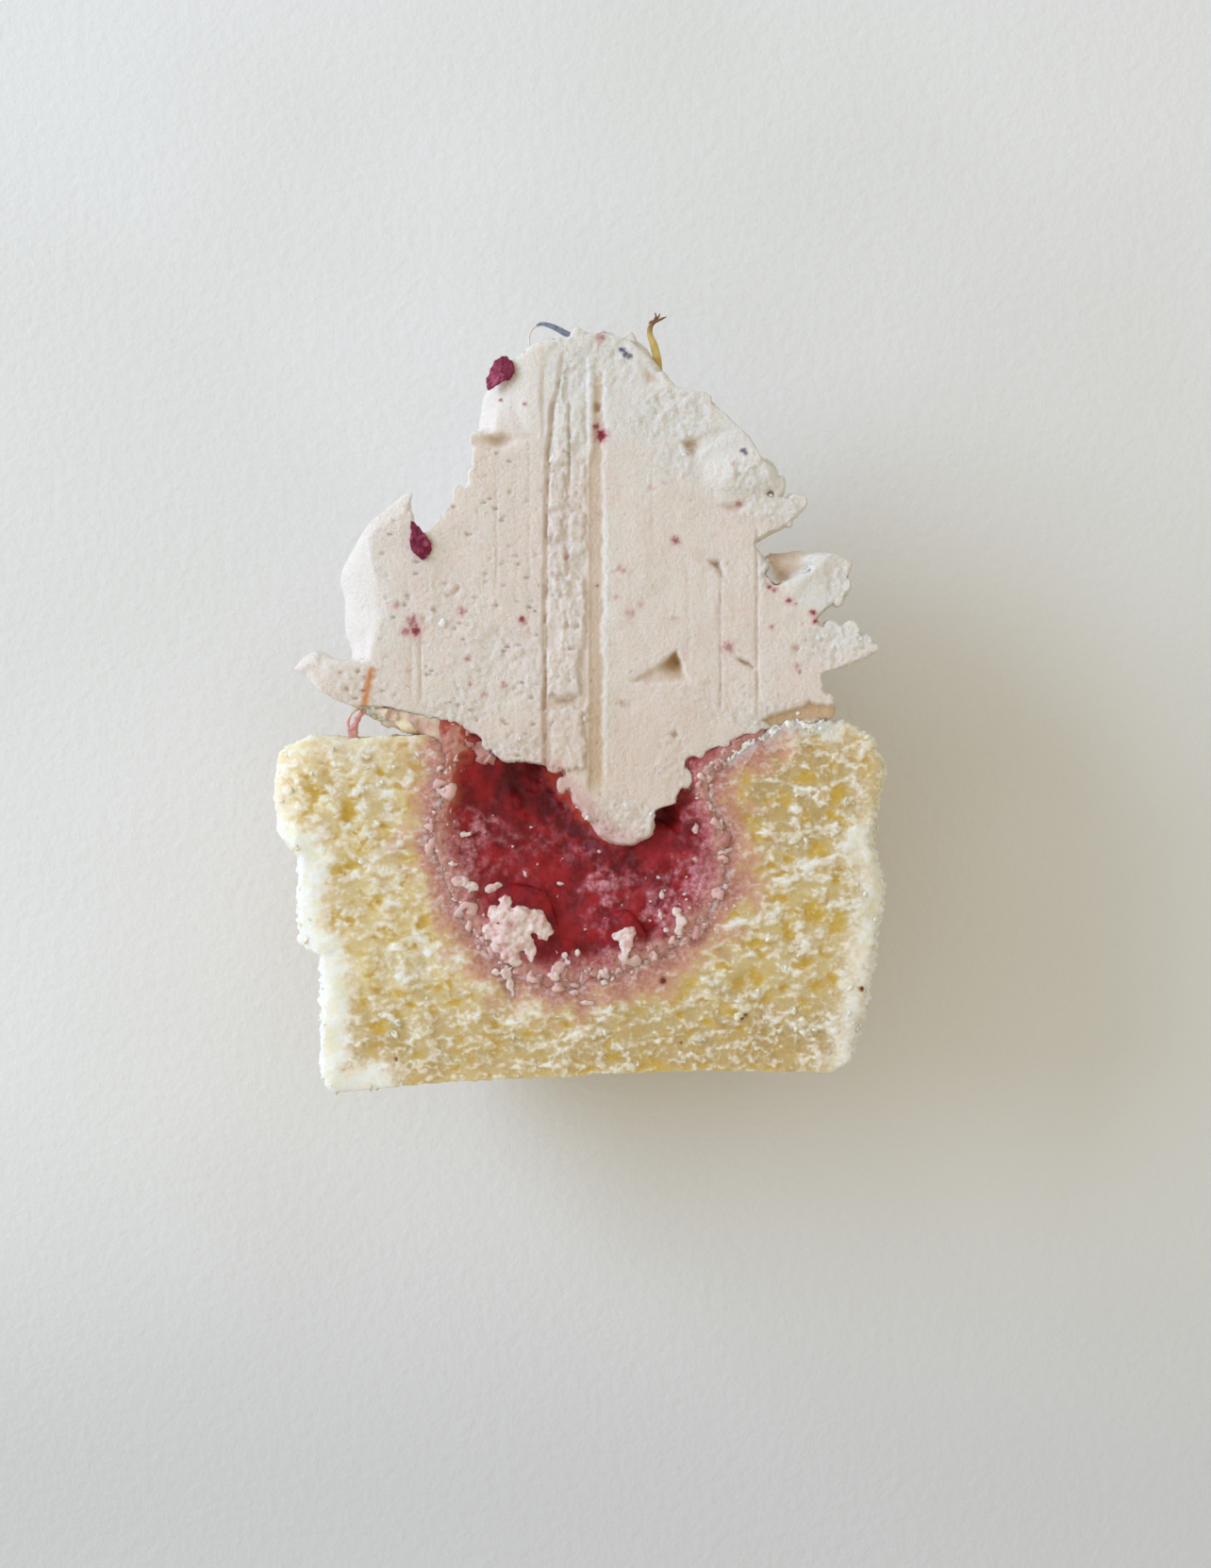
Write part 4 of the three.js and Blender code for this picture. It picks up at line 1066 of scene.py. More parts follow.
# Lumps that stand past the piped outline: x, y and z of the middle, width, height and depth.
CREAM_LUMPS = [
    (-0.8, 82.8, 0.5, 2, 1.9, 2.4), (5, 82.8, 0.4, 1.2, 1.4, 2), (6.2, 81, 0, 2.4, 2.6, 2.6),
    (7.4, 79.2, -0.4, 2, 3.2, 2.6), (-5.6, 81.4, 0.2, 2, 1.8, 2), (-3.6, 82, 0.4, 1.8, 1.4, 2),
    (2.2, 83, 0.4, 2.2, 1.2, 2), (-12, 71.8, 0.4, 1.8, 1.2, 2.4), (-11.9, 69.4, 0.7, 1.5, 2, 2.4),
    (-12.4, 67.4, 0.7, 1.4, 1.6, 2.4), (-11, 65.8, 0.3, 1.4, 1.4, 2), (23.7, 64.5, 0.8, 2, 1.8, 2.4),
    (22.8, 62.3, 0.9, 0.8, 1.7, 1), (21.4, 62.6, 0.8, 1.4, 1.2, 2), (26.4, 58, 0.9, 4.2, 1.6, 2),
    (28.6, 57.2, 0.6, 2.2, 2.2, 2.4), (23.4, 57.5, -0.8, 6.4, 3, 2.8), (29, 55.2, 0.6, 1.3, 2, 2),
    (28.2, 53.6, 0.7, 1.2, 1.6, 2), (27.4, 50.6, 0.9, 1.6, 1.4, 2), (29.8, 50.3, 0.9, 1.8, 1.8, 2),
    (28.6, 49.9, 0.9, 1.4, 1.2, 2), (31.4, 49.1, 0.9, 1.5, 1.1, 1.6), (25.6, 50.6, 0.9, 1.2, 1.2, 2),
    (21.6, 66.2, 0.5, 1.6, 2, 2.4), (20.2, 68.2, 0.5, 1.4, 1.6, 2.4), (-19.8, 61, 0.2, 1.8, 5, 3.6),
    (-24.4, 49.6, -1.6, 3, 5.6, 4.4), (-30, 47, 0.4, 2.8, 2.4, 2.8), (-31.4, 46.2, 0.4, 2, 2, 2.4),
    (-28.4, 44.2, 0.7, 2.4, 1.6, 2.4), (-10.6, 37.6, 1, 2, 1.6, 1.8), (-8.2, 36.2, 1, 2.4, 1.4, 1.8),
    (-5.6, 36.3, 1.1, 2, 1.6, 1.8), (-3.4, 35, 1.1, 1.6, 1.4, 1.6), (-2.6, 32.8, 1, 1, 1.8, 1.4),
    (-0.6, 31.4, 1, 1.6, 1.6, 1.6), (0.8, 29.6, 1, 1.8, 1.4, 1.6), (2.4, 27.8, 1, 1.8, 1.5, 1.6),
    (4.2, 26.9, 1, 1.8, 1.2, 1.6), (6.6, 27.9, 1, 1.6, 1.8, 1.6), (9.6, 31, 1, 1.1, 2.2, 1.6),
    (11.4, 33.6, 1, 1.2, 2, 1.6), (12.8, 36.4, 1, 1.4, 1.2, 1.6), (15.4, 37.6, 1, 1.6, 1.2, 1.6),
    (18.6, 39, 1, 1.8, 1.2, 1.6), (24.2, 42.2, 1, 2.2, 1, 1.8), (26.8, 42.6, 0.9, 1.8, 1.2, 1.8),
    (22, 40.6, 0.8, 3.4, 1.5, 2.6), (24.4, 41.1, 0.8, 3.4, 1.5, 2.6), (26.5, 41.3, 0.8, 2.8, 1.6, 2.6),
    (-14.6, 40.6, 1.1, 1.8, 1.2, 1.6), (20.4, 39.8, 0.5, 3, 1.5, 2.2), (22.8, 40.1, 0.4, 3, 1.4, 2.2),
    (25, 40.4, 0.4, 2.6, 1.4, 2.2), (-25, 51.8, -1.6, 4.2, 7.4, 5), (-25.1, 56.4, -1.2, 4.6, 6, 4.6),
    (-24.5, 48.4, -1.6, 3.4, 5, 4.4), (-11, 73.9, -2.2, 2.2, 2.4, 3), (-10.7, 75.9, -2.2, 2.2, 3, 3),
    (-10, 77.8, -2.4, 2, 2.4, 2.6),
]

BLUE_PETAL = [
    (-6.2, 80.8, 0.4), (-6.1, 82.8, 0.6), (-5.2, 84.3, 0.8), (-3.6, 84.1, 0.9), (-0.6, 82.3, 0.4),
]
STALK = [(9.8, 76.4, -1), (8.9, 79.8, 0.2), (7.7, 82, 0.6), (7.6, 84, 0.8), (8.4, 85.2, 1)]
THREAD = [(-24.2, 43.4, 0.4), (-25, 41.4, 0.9), (-25.3, 39.9, 0.9), (-25.6, 38.9, 0.8)]
BERRY_FLAKE = [(-9.3, 79.1, -1.2), (-9.3, 79.2, -1.2)]
# What the frame's cream has of the toppings and is cleared: a path and a radius.
TOPPINGS = [(BLUE_PETAL, 0.75), (STALK[1:], 0.9), (THREAD[1:], 0.9), (BERRY_FLAKE, 1.2)]


def ball(spot, size, lumpy, seed):
    """A lumpy ball with its middle at a spot, of a width, height and depth in mm."""
    bpy.ops.object.select_all(action="DESELECT")
    bpy.ops.mesh.primitive_ico_sphere_add(subdivisions=3, radius=1)
    obj = bpy.context.active_object
    shape = np.array([v.co for v in obj.data.vertices])
    shape *= (1 + lumpy * waves(1.6 * shape + 7.3 * seed, 5))[:, None]
    put_spots(obj, shape * np.array(size) * 0.55 + spot)
    return obj


def melt_cream(obj):
    """Fills the frame's own hollows, adds the lumps past the outline and returns them as one piece."""
    spots = spots_of(obj)
    for outline, *_ in HOLLOWS:
        sunk = (depth_inside(spots[:, :2], outline) > -0.5) & (np.abs(spots[:, 2] - CUT + 2.4) < 2.1)
        spots[sunk, 2] = CUT - 0.15
    put_spots(obj, spots)
    lumps = [ball(lump[:3], lump[3:], 0.3, i) for i, lump in enumerate(CREAM_LUMPS)]
    return joined([obj] + lumps, "buttercream")


def soften_cream(obj):
    """Smooths the piped outside at the left and the fold behind the third ridge."""
    spots = spots_of(obj)
    at_petal = (spots[:, 0] < -23.5) & (spots[:, 1] > 46)
    piped = (spots[:, 2] < CUT - 1.2 + 0.9 * at_petal) & (spots[:, 0] < 14)
    folded = (depth_inside(spots[:, :2], BEHIND) > -1.4) & (spots[:, 2] > CUT - 5)
    for name, chosen, rounds in (("outside", piped, 90), ("behind", folded, 16)):
        obj.vertex_groups.new(name=name).add(np.nonzero(chosen)[0].tolist(), 1.0, "REPLACE")
        modified(obj, "SMOOTH", factor=0.9, iterations=rounds, vertex_group=name)
    obj.vertex_groups.clear()
    modified(obj, "SMOOTH", factor=0.5, iterations=4)


def carve_cream(obj, furrow):
    """Cuts the cream to the knife's relief, narrows the tongue's tip and makes the folds lumpy."""
    spots, normals = spots_of(obj), normals_of(obj)
    x, y, z = spots[:, 0], spots[:, 1], spots[:, 2]
    cut = cream_cut(spots, normals)
    height, _, clot = cream_relief(spots[:, :2], furrow)
    kept = kept_round(spots[:, :2])
    under = underside(spots)
    z += (1 - kept) * cut * (CUT + height - z) + 0.35 * kept * eased(normals[:, 2], 0.2, 0.6) * height
    # the tongue's tip ends in a narrow point, with a notch at its right
    x -= 0.8 * np.clip(x - 7.5, 0, 4) * eased(-y, -31, -30.1) * (z > CUT - 6)
    past = np.clip(petal_brink(y) - x, 0, 5) * eased(y, 46, 49)
    z -= 0.3 * past * eased(z, CUT - 9, CUT - 2)
    rim = eased(z, CUT - 6, CUT - 1)
    folds = 0.1 * rough(spots / 1.2, 110, 3) + 0.12 * waves(spots / 3.0, 112)
    folds += rim * (0.15 + clot) * (0.4 * rough(spots / 0.9, 114, 3, 0.6) + 0.15)
    folds *= (1 - 0.8 * under) * (1 - kept) * (1 - 0.8 * eased(-x, 17, 20) * eased(y, 46, 48))
    spots += normals * ((1 - cut) * folds)[:, None]
    spots[:, 2] = np.maximum(spots[:, 2], BOARD)
    put_spots(obj, spots)


def paint_cream(obj, furrow):
    """Stores where the cream gets painted shade deep down, where it is clotted or uncut, where it gets a
    painted highlight, and where it is stained.
    """
    spots, normals = spots_of(obj), normals_of(obj)
    x, y, z = spots.T
    _, deep, clot = cream_relief(spots[:, :2], furrow)
    near_cut = eased(z, CUT - 4.5, CUT - 2.5)
    # painted shade: the fold behind the third ridge fading towards its crest, the underside, and more towards
    # the bottom
    shell = eased(depth_inside(spots[:, :2], BEHIND), -0.1, 0.9) * eased(-z, -CUT + 0.3, -CUT + 0.9)
    shell *= 1.1 - 0.8 * eased(x, 20, 26.5)
    under = underside(spots) * (0.55 + 0.45 * eased(-y, -42, -40.6))
    lower = 0.2 * (1 - eased(y, 36, 54))
    paint(obj, "deep", np.maximum(near_cut * (deep + lower), np.maximum(0.45 * shell, 0.5 * under)))
    paint(obj, "clotted", near_cut * clot)
    uncut = eased(y, 72, 73.5) * eased(-x, 3.6, 5.5)
    uncut = np.maximum(uncut, eased(petal_brink(y) - x, -0.3, 0.4) * eased(y, 45.5, 47))
    uncut = np.maximum(uncut, (1 - eased(y, 48, 50)) * eased(-x, 29.4, 30.8))
    paint(obj, "skin", np.maximum(1 - eased(normals[:, 2], 0.3, 0.8) * near_cut, uncut))
    # painted highlights: the top, the left petal, the third ridge, the listed patches and the lip beside the
    # trough
    upper = eased(y + 0.35 * x + 2 * rough(spots / 3, 119, 2), 66, 76)
    petal = 0.6 * (1 - eased(x - petal_brink(y), 0, 4)) * band(y, 44, 48, 61, 64)
    ridge = 1 - eased(reach(spots, 26.2, 56, 4, 4.2), 0.6, 1.2)
    lip = 0.8 * np.exp(-(((x - 2.4) / 0.5) ** 2)) * band(y, 34, 38, 60, 66)
    painted_highlight = np.max([0.95 * upper, petal, ridge, strongest(spots, HIGHLIGHT_PATCHES, 0.5, 1.2), lip], axis=0)
    paint(obj, "painted_highlight", near_cut * painted_highlight * (1 - uncut))
    flat = spots * (1, 1, 0) + 0.25 * moves(spots, 0.7, 121, 2)
    paint(obj, "amber", 1 - eased(distance_to_path(flat, STREAK), 0.1, 0.75))
    paint(obj, "slate", near_cut * dots(flat, SLATE_SPECKS, 1.2))
    blush, fruit = specks_at(spots)
    edge = distance_to_path(flat, TONGUE_EDGE)
    paint(obj, "blush", near_cut * np.maximum(blush, 0.4 * (1 - eased(edge, 0.5, 2.2))))
    paint(obj, "fruit", near_cut * fruit)


class CUPCAKE_OT_cream(bpy.types.Operator):
    """Carves the knife's furrows and the hollows between the folds into the buttercream"""

    bl_idname = "cupcake.cream"
    bl_label = "Buttercream"

    def execute(self, context):
        settings = context.scene.half_cupcake.cream
        furrow = settings.furrow_depth / MM
        obj = melt_cream(copy_of("cream", "buttercream", TOPPINGS))
        modified(obj, "REMESH", mode="VOXEL", voxel_size=settings.grain)
        soften_cream(obj)
        carve_cream(obj, furrow)
        thinned(obj, LARGE_PIECE, lambda s, n: np.clip(0.1 + eased(s[:, 2], CUT - 6, CUT - 3), 0, 0.99))
        paint_cream(obj, furrow)
        finished(obj, make_cream_material(settings), ["cream"])
        return {"FINISHED"}


def underside(spots):
    """How much each point belongs to the underside that shows below the cut's right end, which gets an
    ochre painted shade.
    """
    low = (1 - eased(spots[:, 2], CUT - 1.3, CUT - 0.7)) * eased(spots[:, 2], CUT - 5, CUT - 3.5)
    return low * eased(spots[:, 0], 18, 20) * (1 - eased(spots[:, 1], 42, 43.5))


def cream_cut(spots, normals):
    """How much each point belongs to the cut face rather than to the cream's piped outside or to the fold
    that shows behind the third ridge."""
    cut = eased(normals[:, 2], 0.25, 0.6) * eased(spots[:, 2], CUT - 2.2, CUT - 1.1)
    return cut * (1 - eased(depth_inside(spots[:, :2], BEHIND), -0.1, 0.3) * (spots[:, 2] < CUT - 0.5))


def dots(spots, marks, soft):
    """How much each spot belongs to a dark dot. A dot is x, y and radius."""
    return np.max([eased(-reach(spots, x, y, r, r), -soft, -0.6) for x, y, r in marks], axis=0)


def specks_at(spots):
    """The pink halo and the dark middle of every fruit speck."""
    blush = np.zeros(len(spots))
    fruit = np.zeros(len(spots))
    frayed = 0.5 * rough(spots / 0.4, 120, 2, 0.6)
    for x, y, radius, dark in SPECKS:
        away = reach(spots, x, y, radius, radius) + frayed
        blush = np.maximum(blush, dark * 0.7 * (1 - eased(away, 0.3, 1.6)))
        fruit = np.maximum(fruit, dark * (1 - eased(away, 0.3, 0.75)))
    tip = eased(-spots[:, 1] + 1.5 * frayed, -28.5, -26.2) * 0.45
    return np.maximum(blush, tip), fruit


# ---- toppings, threads, smears and crumbs ----
def along_path(path, share):
    """Points at each share from 0 to 1 of the way along a smooth curve through a path's corners."""
    corners = np.array(path, float)
    corners = np.vstack((2 * corners[0] - corners[1], corners, 2 * corners[-1] - corners[-2]))
    span = np.clip(share, 0, 1) * (len(path) - 1)
    step = np.minimum(span.astype(int), len(path) - 2)
    t = (span - step)[:, None]
    a, b, c, d = (corners[step + k] for k in range(4))
    return 0.5 * (2 * b + (c - a) * t + (2 * a - 5 * b + 4 * c - d) * t**2 + (3 * b - a - 3 * c + d) * t**3)


# Each strand's path, its width and its depth at the start, middle and end, how much it shakes, and a seed.
STRANDS = {
    "blue_petal": (
        [(-5.6, 84.1, 0.6), (-4.9, 84.4, 0.7), (-3.7, 84.1, 0.9), (-2.5, 83.5, 0.9), (-0.9, 82.7, 0.7)],
        (0.22, 0.6, 0.75), (0.25, 0.4, 0.5), 0.04, 140,
    ),
    "pale_petal": (
        [(-4.7, 84.3, 0.6), (-5.7, 84, 0.6), (-6.2, 83.2, 0.5), (-6.2, 82, 0.4), (-5.8, 80.7, 0.2)],
        (0.25, 0.22, 0.3), (0.25, 0.25, 0.3), 0, 0,
    ),
    "stalk": (
        [
            (9, 77.2, 0), (8.2, 79.1, 0.3), (8.1, 80.5, 0.5), (7.7, 82, 0.7), (7.3, 83.1, 0.8),
            (7.3, 84, 0.9), (7.8, 84.7, 1),
        ],
        (1.1, 0.85, 0.45), (0.6, 0.5, 0.4), 0.04, 142,
    ),
    "hair_a": (
        [(7.5, 84.2, 1), (8.1, 85, 1), (8.4, 85.5, 1.1)],
        (0.4, 0.26, 0.12), (0.3, 0.2, 0.12), 0.06, 144,
    ),
    "hair_b": (
        [(7.7, 84.5, 1), (8.5, 84.9, 1), (9.1, 85.2, 1)],
        (0.4, 0.26, 0.12), (0.3, 0.2, 0.12), 0.06, 145,
    ),
    "hair_c": (
        [(7.6, 84.3, 1), (7.9, 85.1, 1.1), (7.8, 85.6, 1.1)],
        (0.4, 0.26, 0.12), (0.3, 0.2, 0.12), 0.06, 146,
    ),
    "hair_d": (
        [(7.8, 84.6, 1), (7.4, 84.6, 1), (7.1, 84.4, 1)],
        (0.4, 0.26, 0.12), (0.3, 0.2, 0.12), 0.06, 147,
    ),
    "skin": (
        [
            (-24.8, 42.7, 0.4), (-23.1, 41.5, 0.3), (-21, 40.5, 0.2), (-18.4, 39.9, 0.2),
            (-15.8, 38.8, 0.2), (-13.4, 37.5, 0.2), (-11.3, 36.4, 0.2), (-9.4, 35.5, 0.3),
        ],
        (1.2, 3.4, 2.2), (2.2, 3.6, 2.4), 0.6, 150,
    ),
    "golden": (
        [
            (-27.8, 43.1, 0.6), (-25.8, 42.2, 0.5), (-23.6, 41.3, 0.5), (-21.8, 40.5, 0.4),
            (-20.6, 40.1, 0.4),
        ],
        (0.5, 1.8, 0.8), (0.8, 1.2, 0.8), 0.25, 157,
    ),
    "thread": (
        [
            (-24.5, 41.6, 0.9), (-24.9, 41, 1), (-25.4, 40.2, 1.1), (-25.8, 39.2, 1), (-25.9, 38.2, 0.8),
            (-25.4, 36.8, 0.9),
        ],
        (0.5, 0.6, 1.5), (0.5, 0.5, 0.9), 0.22, 154,
    ),
    "loop": (
        [(-24.9, 41.6, 0.8), (-26, 40.9, 0.8), (-26.5, 39.8, 0.8), (-26.2, 38.4, 0.7)],
        (0.2, 0.3, 0.6), (0.2, 0.3, 0.6), 0.12, 158,
    ),
}


def strand(name):
    """A strand along a path, flattened from a ball."""
    path, width, depth, shake, seed = STRANDS[name]
    bpy.ops.object.select_all(action="DESELECT")
    bpy.ops.mesh.primitive_uv_sphere_add(segments=16, ring_count=48, radius=1)
    obj = bpy.context.active_object
    obj.name = name
    shape = np.array([v.co for v in obj.data.vertices])
    share = (shape[:, 2] + 1) / 2
    middle = along_path(path, share)
    ahead = along_path(path, share + 0.01) - along_path(path, share - 0.01)
    across = np.column_stack((-ahead[:, 1], ahead[:, 0], np.zeros(len(ahead))))
    across /= np.maximum(np.linalg.norm(across, axis=1), 1e-9)[:, None]
    out = np.hypot(shape[:, 0], shape[:, 1])
    side = shape[:, :2] * (np.minimum(1, 1.7 * out) / np.maximum(out, 1e-9))[:, None]
    wide, deep = (np.interp(share, (0, 0.5, 1), size) / 2 for size in (width, depth))
    spots = middle + across * (side[:, 0] * wide)[:, None]
    spots[:, 2] += side[:, 1] * deep
    spots += shake * moves(spots, 0.9, seed, 3, 0.6)
    put_spots(obj, spots)
    paint(obj, "along", share)
    return obj


def ground(spot, names):
    """Height in mm of the highest of the named pieces under a place on the cake."""
    start = Vector(placed([(spot[0], spot[1], 30)])[0])
    highest = BOARD
    for name in names:
        hit, place, _, _ = bpy.data.objects[name].ray_cast(start, Vector((0, 0, -1)))
        if hit:
            highest = max(highest, on_cake([place])[0][2])
    return highest


def dropped_lumps(name, balls, names, sunk, grain, shake, seed):
    """Soft lumps dropped on the named pieces and melted together: each is x, y, width and height in mm,
    and as deep as the smaller of the two."""
    made = []
    for i, (x, y, width, height) in enumerate(balls):
        deep = 0.6 * min(width, height)
        lift = ground((x, y), names) + deep * (0.5 - sunk)
        made.append(ball((x, y, lift), (width, height, deep), 0.4, seed + i))
    obj = joined(made, name)
    modified(obj, "REMESH", mode="VOXEL", voxel_size=grain * MM)
    modified(obj, "SMOOTH", factor=0.5, iterations=5)
    spots, normals = spots_of(obj), normals_of(obj)
    put_spots(obj, spots + normals * (shake * rough(spots / 0.7, seed, 3, 0.6))[:, None])
    return obj


def make_petal_material(name, colours, vein_mm, roughness):
    """A thin, dry plant tissue: dull, veined and a little translucent."""
    material, tree = new_material(name)
    veins = pattern(tree, vein_mm, 4.0, 0.65)
    colour = layered(
        tree, colours[0],
        (ranged(tree, veins, 0.38, 0.62), colours[1]),
        (ranged(tree, read(tree, "along"), 0.55, 1.0), colours[2]),
    )
    shaded(
        tree, colour, roughness, veins, 0.12, scatter=(0.15, (1.0, 0.4, 0.3), 0.5), in_Specular_IOR_Level=0.25
    )
    return material


# The two fruit petals: outline, height of the middle, slopes along x and y, and how much it cups.
FRUIT_PETALS = [
    (
        [
            (-9.9, 80.3), (-9, 80.7), (-8.1, 80.1), (-7.8, 79.1), (-8.2, 78.2), (-9.1, 77.9), (-9.9, 77.4),
            (-10.8, 76.9), (-11, 77.7), (-10.6, 78.8), (-10.3, 79.6),
        ],
        -9.4, 79, 1.5, (0.35, -0.2), 0.06,
    ),
    (
        [
            (-19.4, 62.4), (-18.9, 61.9), (-18.1, 60.9), (-17.4, 60.2), (-17.1, 59.2), (-17.4, 58.4),
            (-17.9, 58), (-18.5, 58.4), (-19.2, 59), (-19.4, 60), (-19.2, 61),
        ],
        -18.3, 59.8, 2.4, (-0.06, -0.08), 0.05,
    ),
]


def petal_of(outline, cx, cy, lift, slope, cup, seed):
    """One crumpled flake of dried fruit, shaped from a disc."""
    bpy.ops.object.select_all(action="DESELECT")
    bpy.ops.mesh.primitive_circle_add(vertices=72, radius=1, fill_type="TRIFAN")
    obj = bpy.context.active_object
    bpy.ops.object.mode_set(mode="EDIT")
    bpy.ops.mesh.select_all(action="SELECT")
    bpy.ops.mesh.subdivide(number_cuts=5)
    bpy.ops.object.mode_set(mode="OBJECT")
    disc = np.array([v.co for v in obj.data.vertices])
    turn, out = np.arctan2(disc[:, 1], disc[:, 0]), np.hypot(disc[:, 0], disc[:, 1])
    corners = np.array(outline) - (cx, cy)
    angles = np.arctan2(corners[:, 1], corners[:, 0])
    order = np.argsort(angles)
    edge = np.interp(turn, angles[order], np.hypot(*corners.T)[order], period=2 * math.pi)
    edge *= 1 + 0.1 * rough(np.column_stack((3.5 * np.cos(turn), 3.5 * np.sin(turn))), 130 + seed, 3)
    x, y = out * edge * np.cos(turn), out * edge * np.sin(turn)
    crumple = 0.22 * rough(np.column_stack((x, y)) / 1.1, 134 + seed, 3)
    z = lift + slope[0] * x + slope[1] * y - cup * (x * x + y * y) + crumple
    put_spots(obj, np.column_stack((cx + x, cy + y, z)))
    modified(obj, "SOLIDIFY", thickness=0.28 * MM, offset=0.0)
    paint(obj, "along", eased(rough(spots_of(obj) / 0.9, 138, 3), -0.1, 0.5))
    return obj


class CUPCAKE_OT_fruit_petals(bpy.types.Operator):
    """Lays two flakes of dried fruit on the dome and in the left fold"""

    bl_idname = "cupcake.fruit_petals"
    bl_label = "Fruit petals"

    def execute(self, context):
        obj = joined([petal_of(*petal, i) for i, petal in enumerate(FRUIT_PETALS)], "fruit_petals")
        colours = ("#8E2F4C", "#6E1B33", "#A84A66")
        material = make_petal_material("freeze-dried berry skin", colours, 0.7, 0.55)
        finished(obj, material, [])
        return {"FINISHED"}


class CUPCAKE_OT_flower_bits(bpy.types.Operator):
    """Sets a dried blue petal and a straw-coloured stalk in the top of the cream"""

    bl_idname = "cupcake.flower_bits"
    bl_label = "Flower bits"

    def execute(self, context):
        blue = strand("blue_petal")
        material = make_petal_material("dried cornflower petal", ("#8C8FA3", "#6F7488", "#83879B"), 0.6, 0.6)
        finished(blue, material, [])
        pale = strand("pale_petal")
        material = make_petal_material("bleached petal edge", ("#DDD6C4", "#E8E2D4", "#E0D9C9"), 0.6, 0.6)
        finished(pale, material, [])
        stalk = [strand(name) for name in ("stalk", "hair_a", "hair_b", "hair_c", "hair_d")]
        for hair in stalk[1:]:
            paint(hair, "along", np.ones(len(hair.data.vertices)))
        material = make_petal_material("dried calyx stalk", ("#D9C178", "#C8AC62", "#8A6248"), 1.2, 0.55)
        finished(joined(stalk, "flower_stalk"), material, [])
        return {"FINISHED"}


def make_stained_material():
    """Buttercream that soaked up jam: translucent, waxy and wet, from beige to pink."""
    material, tree = new_material("jam-stained buttercream")
    blotch = pattern(tree, 1.6, 4.0)
    colour = layered(
        tree, "#F0DFBE",
        (ranged(tree, blotch, 0.35, 0.65), "#E2BDAC"),
        (read(tree, "stain"), "#C47C7A"),
        (read(tree, "gold"), "#F5E3B2"),
    )
    shaded(tree, colour, 0.4, blotch, 0.2, scatter=(0.5, (1.0, 0.45, 0.3), 1.5), in_Specular_IOR_Level=0.4)
    return material


class CUPCAKE_OT_stained_cream(bpy.types.Operator):
    """Hangs the jam-stained skin under the cream's left side and the thread that it pulled"""

    bl_idname = "cupcake.stained_cream"
    bl_label = "Stained cream"

    def execute(self, context):
        skin, golden, thread, loop = (strand(name) for name in ("skin", "golden", "thread", "loop"))
        spots = spots_of(skin)
        share = (spots[:, 0] + 24.8) / 15.4
        paint(skin, "stain", eased(share + 0.25 * rough(spots / 1.2, 152, 3), 0.3, 1.1))
        paint(golden, "gold", np.ones(len(golden.data.vertices)))
        paint(thread, "stain", 0.8 + 0.3 * rough(spots_of(thread) / 0.8, 156, 2))
        paint(loop, "stain", np.full(len(loop.data.vertices), 0.35))
        finished(joined([skin, golden, thread, loop], "stained_cream"), make_stained_material(), [])
        return {"FINISHED"}


# Cream and crumb that the knife wiped over the jam: x, y, width and height of each lump.
SMEARS = [
    (-8.8, 19.9, 1.5, 1.3), (-9.9, 18.6, 1.7, 1.7), (-8.6, 18.2, 2.1, 2.1), (-7.1, 18.4, 2.3, 2.3),
    (-5.5, 17.8, 2.3, 2.5), (-4.6, 16.7, 1.8, 2.1), (-10.5, 16.7, 1.7, 1.9), (-8.9, 16.3, 2.3, 2.3),
    (-7.2, 15.8, 2.3, 2.5), (-8.3, 14.2, 2.1, 2.1), (-9.7, 14.9, 1.4, 1.4), (-6, 14.5, 1.1, 2.5),
    (-7.6, 13.2, 1.4, 1.2), (-10.5, 21.3, 1.2, 1.1), (-9.6, 21.7, 0.8, 0.8), (-13.9, 22.2, 1.9, 1.2),
    (-12.6, 21.5, 1.5, 1.1), (-10, 12, 0.8, 0.8), (-8.7, 12, 1.3, 1.2), (-8.3, 10.7, 0.9, 1.3),
    (-8, 9.7, 0.5, 0.9), (-2.3, 14, 0.8, 0.9), (-2.9, 12.7, 1.3, 1.3), (-3.5, 11.7, 1.3, 1.1),
    (-1.9, 13.1, 0.7, 0.8), (3.8, 16.1, 1.6, 0.9), (4.9, 16.5, 1.4, 1.3), (4.6, 15.1, 1.5, 1.5),
    (4.4, 13.8, 1.1, 1.1), (10.3, 18.8, 1.1, 1.1), (10.7, 17.7, 1.2, 1.3), (10.5, 16.6, 1.2, 0.9),
    (11, 20.7, 0.7, 0.5), (8.6, 20.6, 0.6, 1.2), (12.4, 28, 0.7, 1.3), (8.3, 22.6, 0.6, 0.5),
    (6.8, 22.5, 0.5, 0.4), (11.4, 22.6, 0.5, 0.4), (12.3, 24.6, 0.6, 0.7), (2.2, 10.9, 0.9, 0.8),
    (0.6, 12.5, 0.5, 0.5), (-1.3, 9.8, 1.3, 0.6), (0.3, 8.6, 1.7, 0.6), (-0.8, 14.2, 0.6, 1.2),
    (-6.1, 28.1, 0.8, 0.4), (-2.6, 21.8, 0.9, 0.5), (-13.5, 27.4, 1.8, 0.7), (-10.3, 29.5, 0.3, 0.3),
    (0, 16.8, 0.6, 0.4), (8.4, 18.4, 0.6, 0.8), (9.1, 16.8, 0.7, 0.7), (7.3, 17.8, 0.6, 0.5),
    (-14.7, 24.1, 0.9, 0.6), (3.1, 12.1, 0.6, 0.5),
]


def make_smear_material(name, clean, pink):
    """Whipped buttercream that was dragged over the jam: pale and crumbly, pink low down and in its folds."""
    material, tree = new_material(name)
    patchy = pattern(tree, 1.3, 4.0, 0.6)
    colour = layered(tree, clean, (ranged(tree, patchy, 0.42, 0.66), pink), (read(tree, "low"), "#C77F80"))
    shaded(
        tree, colour, 0.6, pattern(tree, 0.3, 4.0, 0.7), 0.08, scatter=(0.3, (1.0, 0.6, 0.4), 0.8),
        in_Specular_IOR_Level=0.3,
    )
    return material


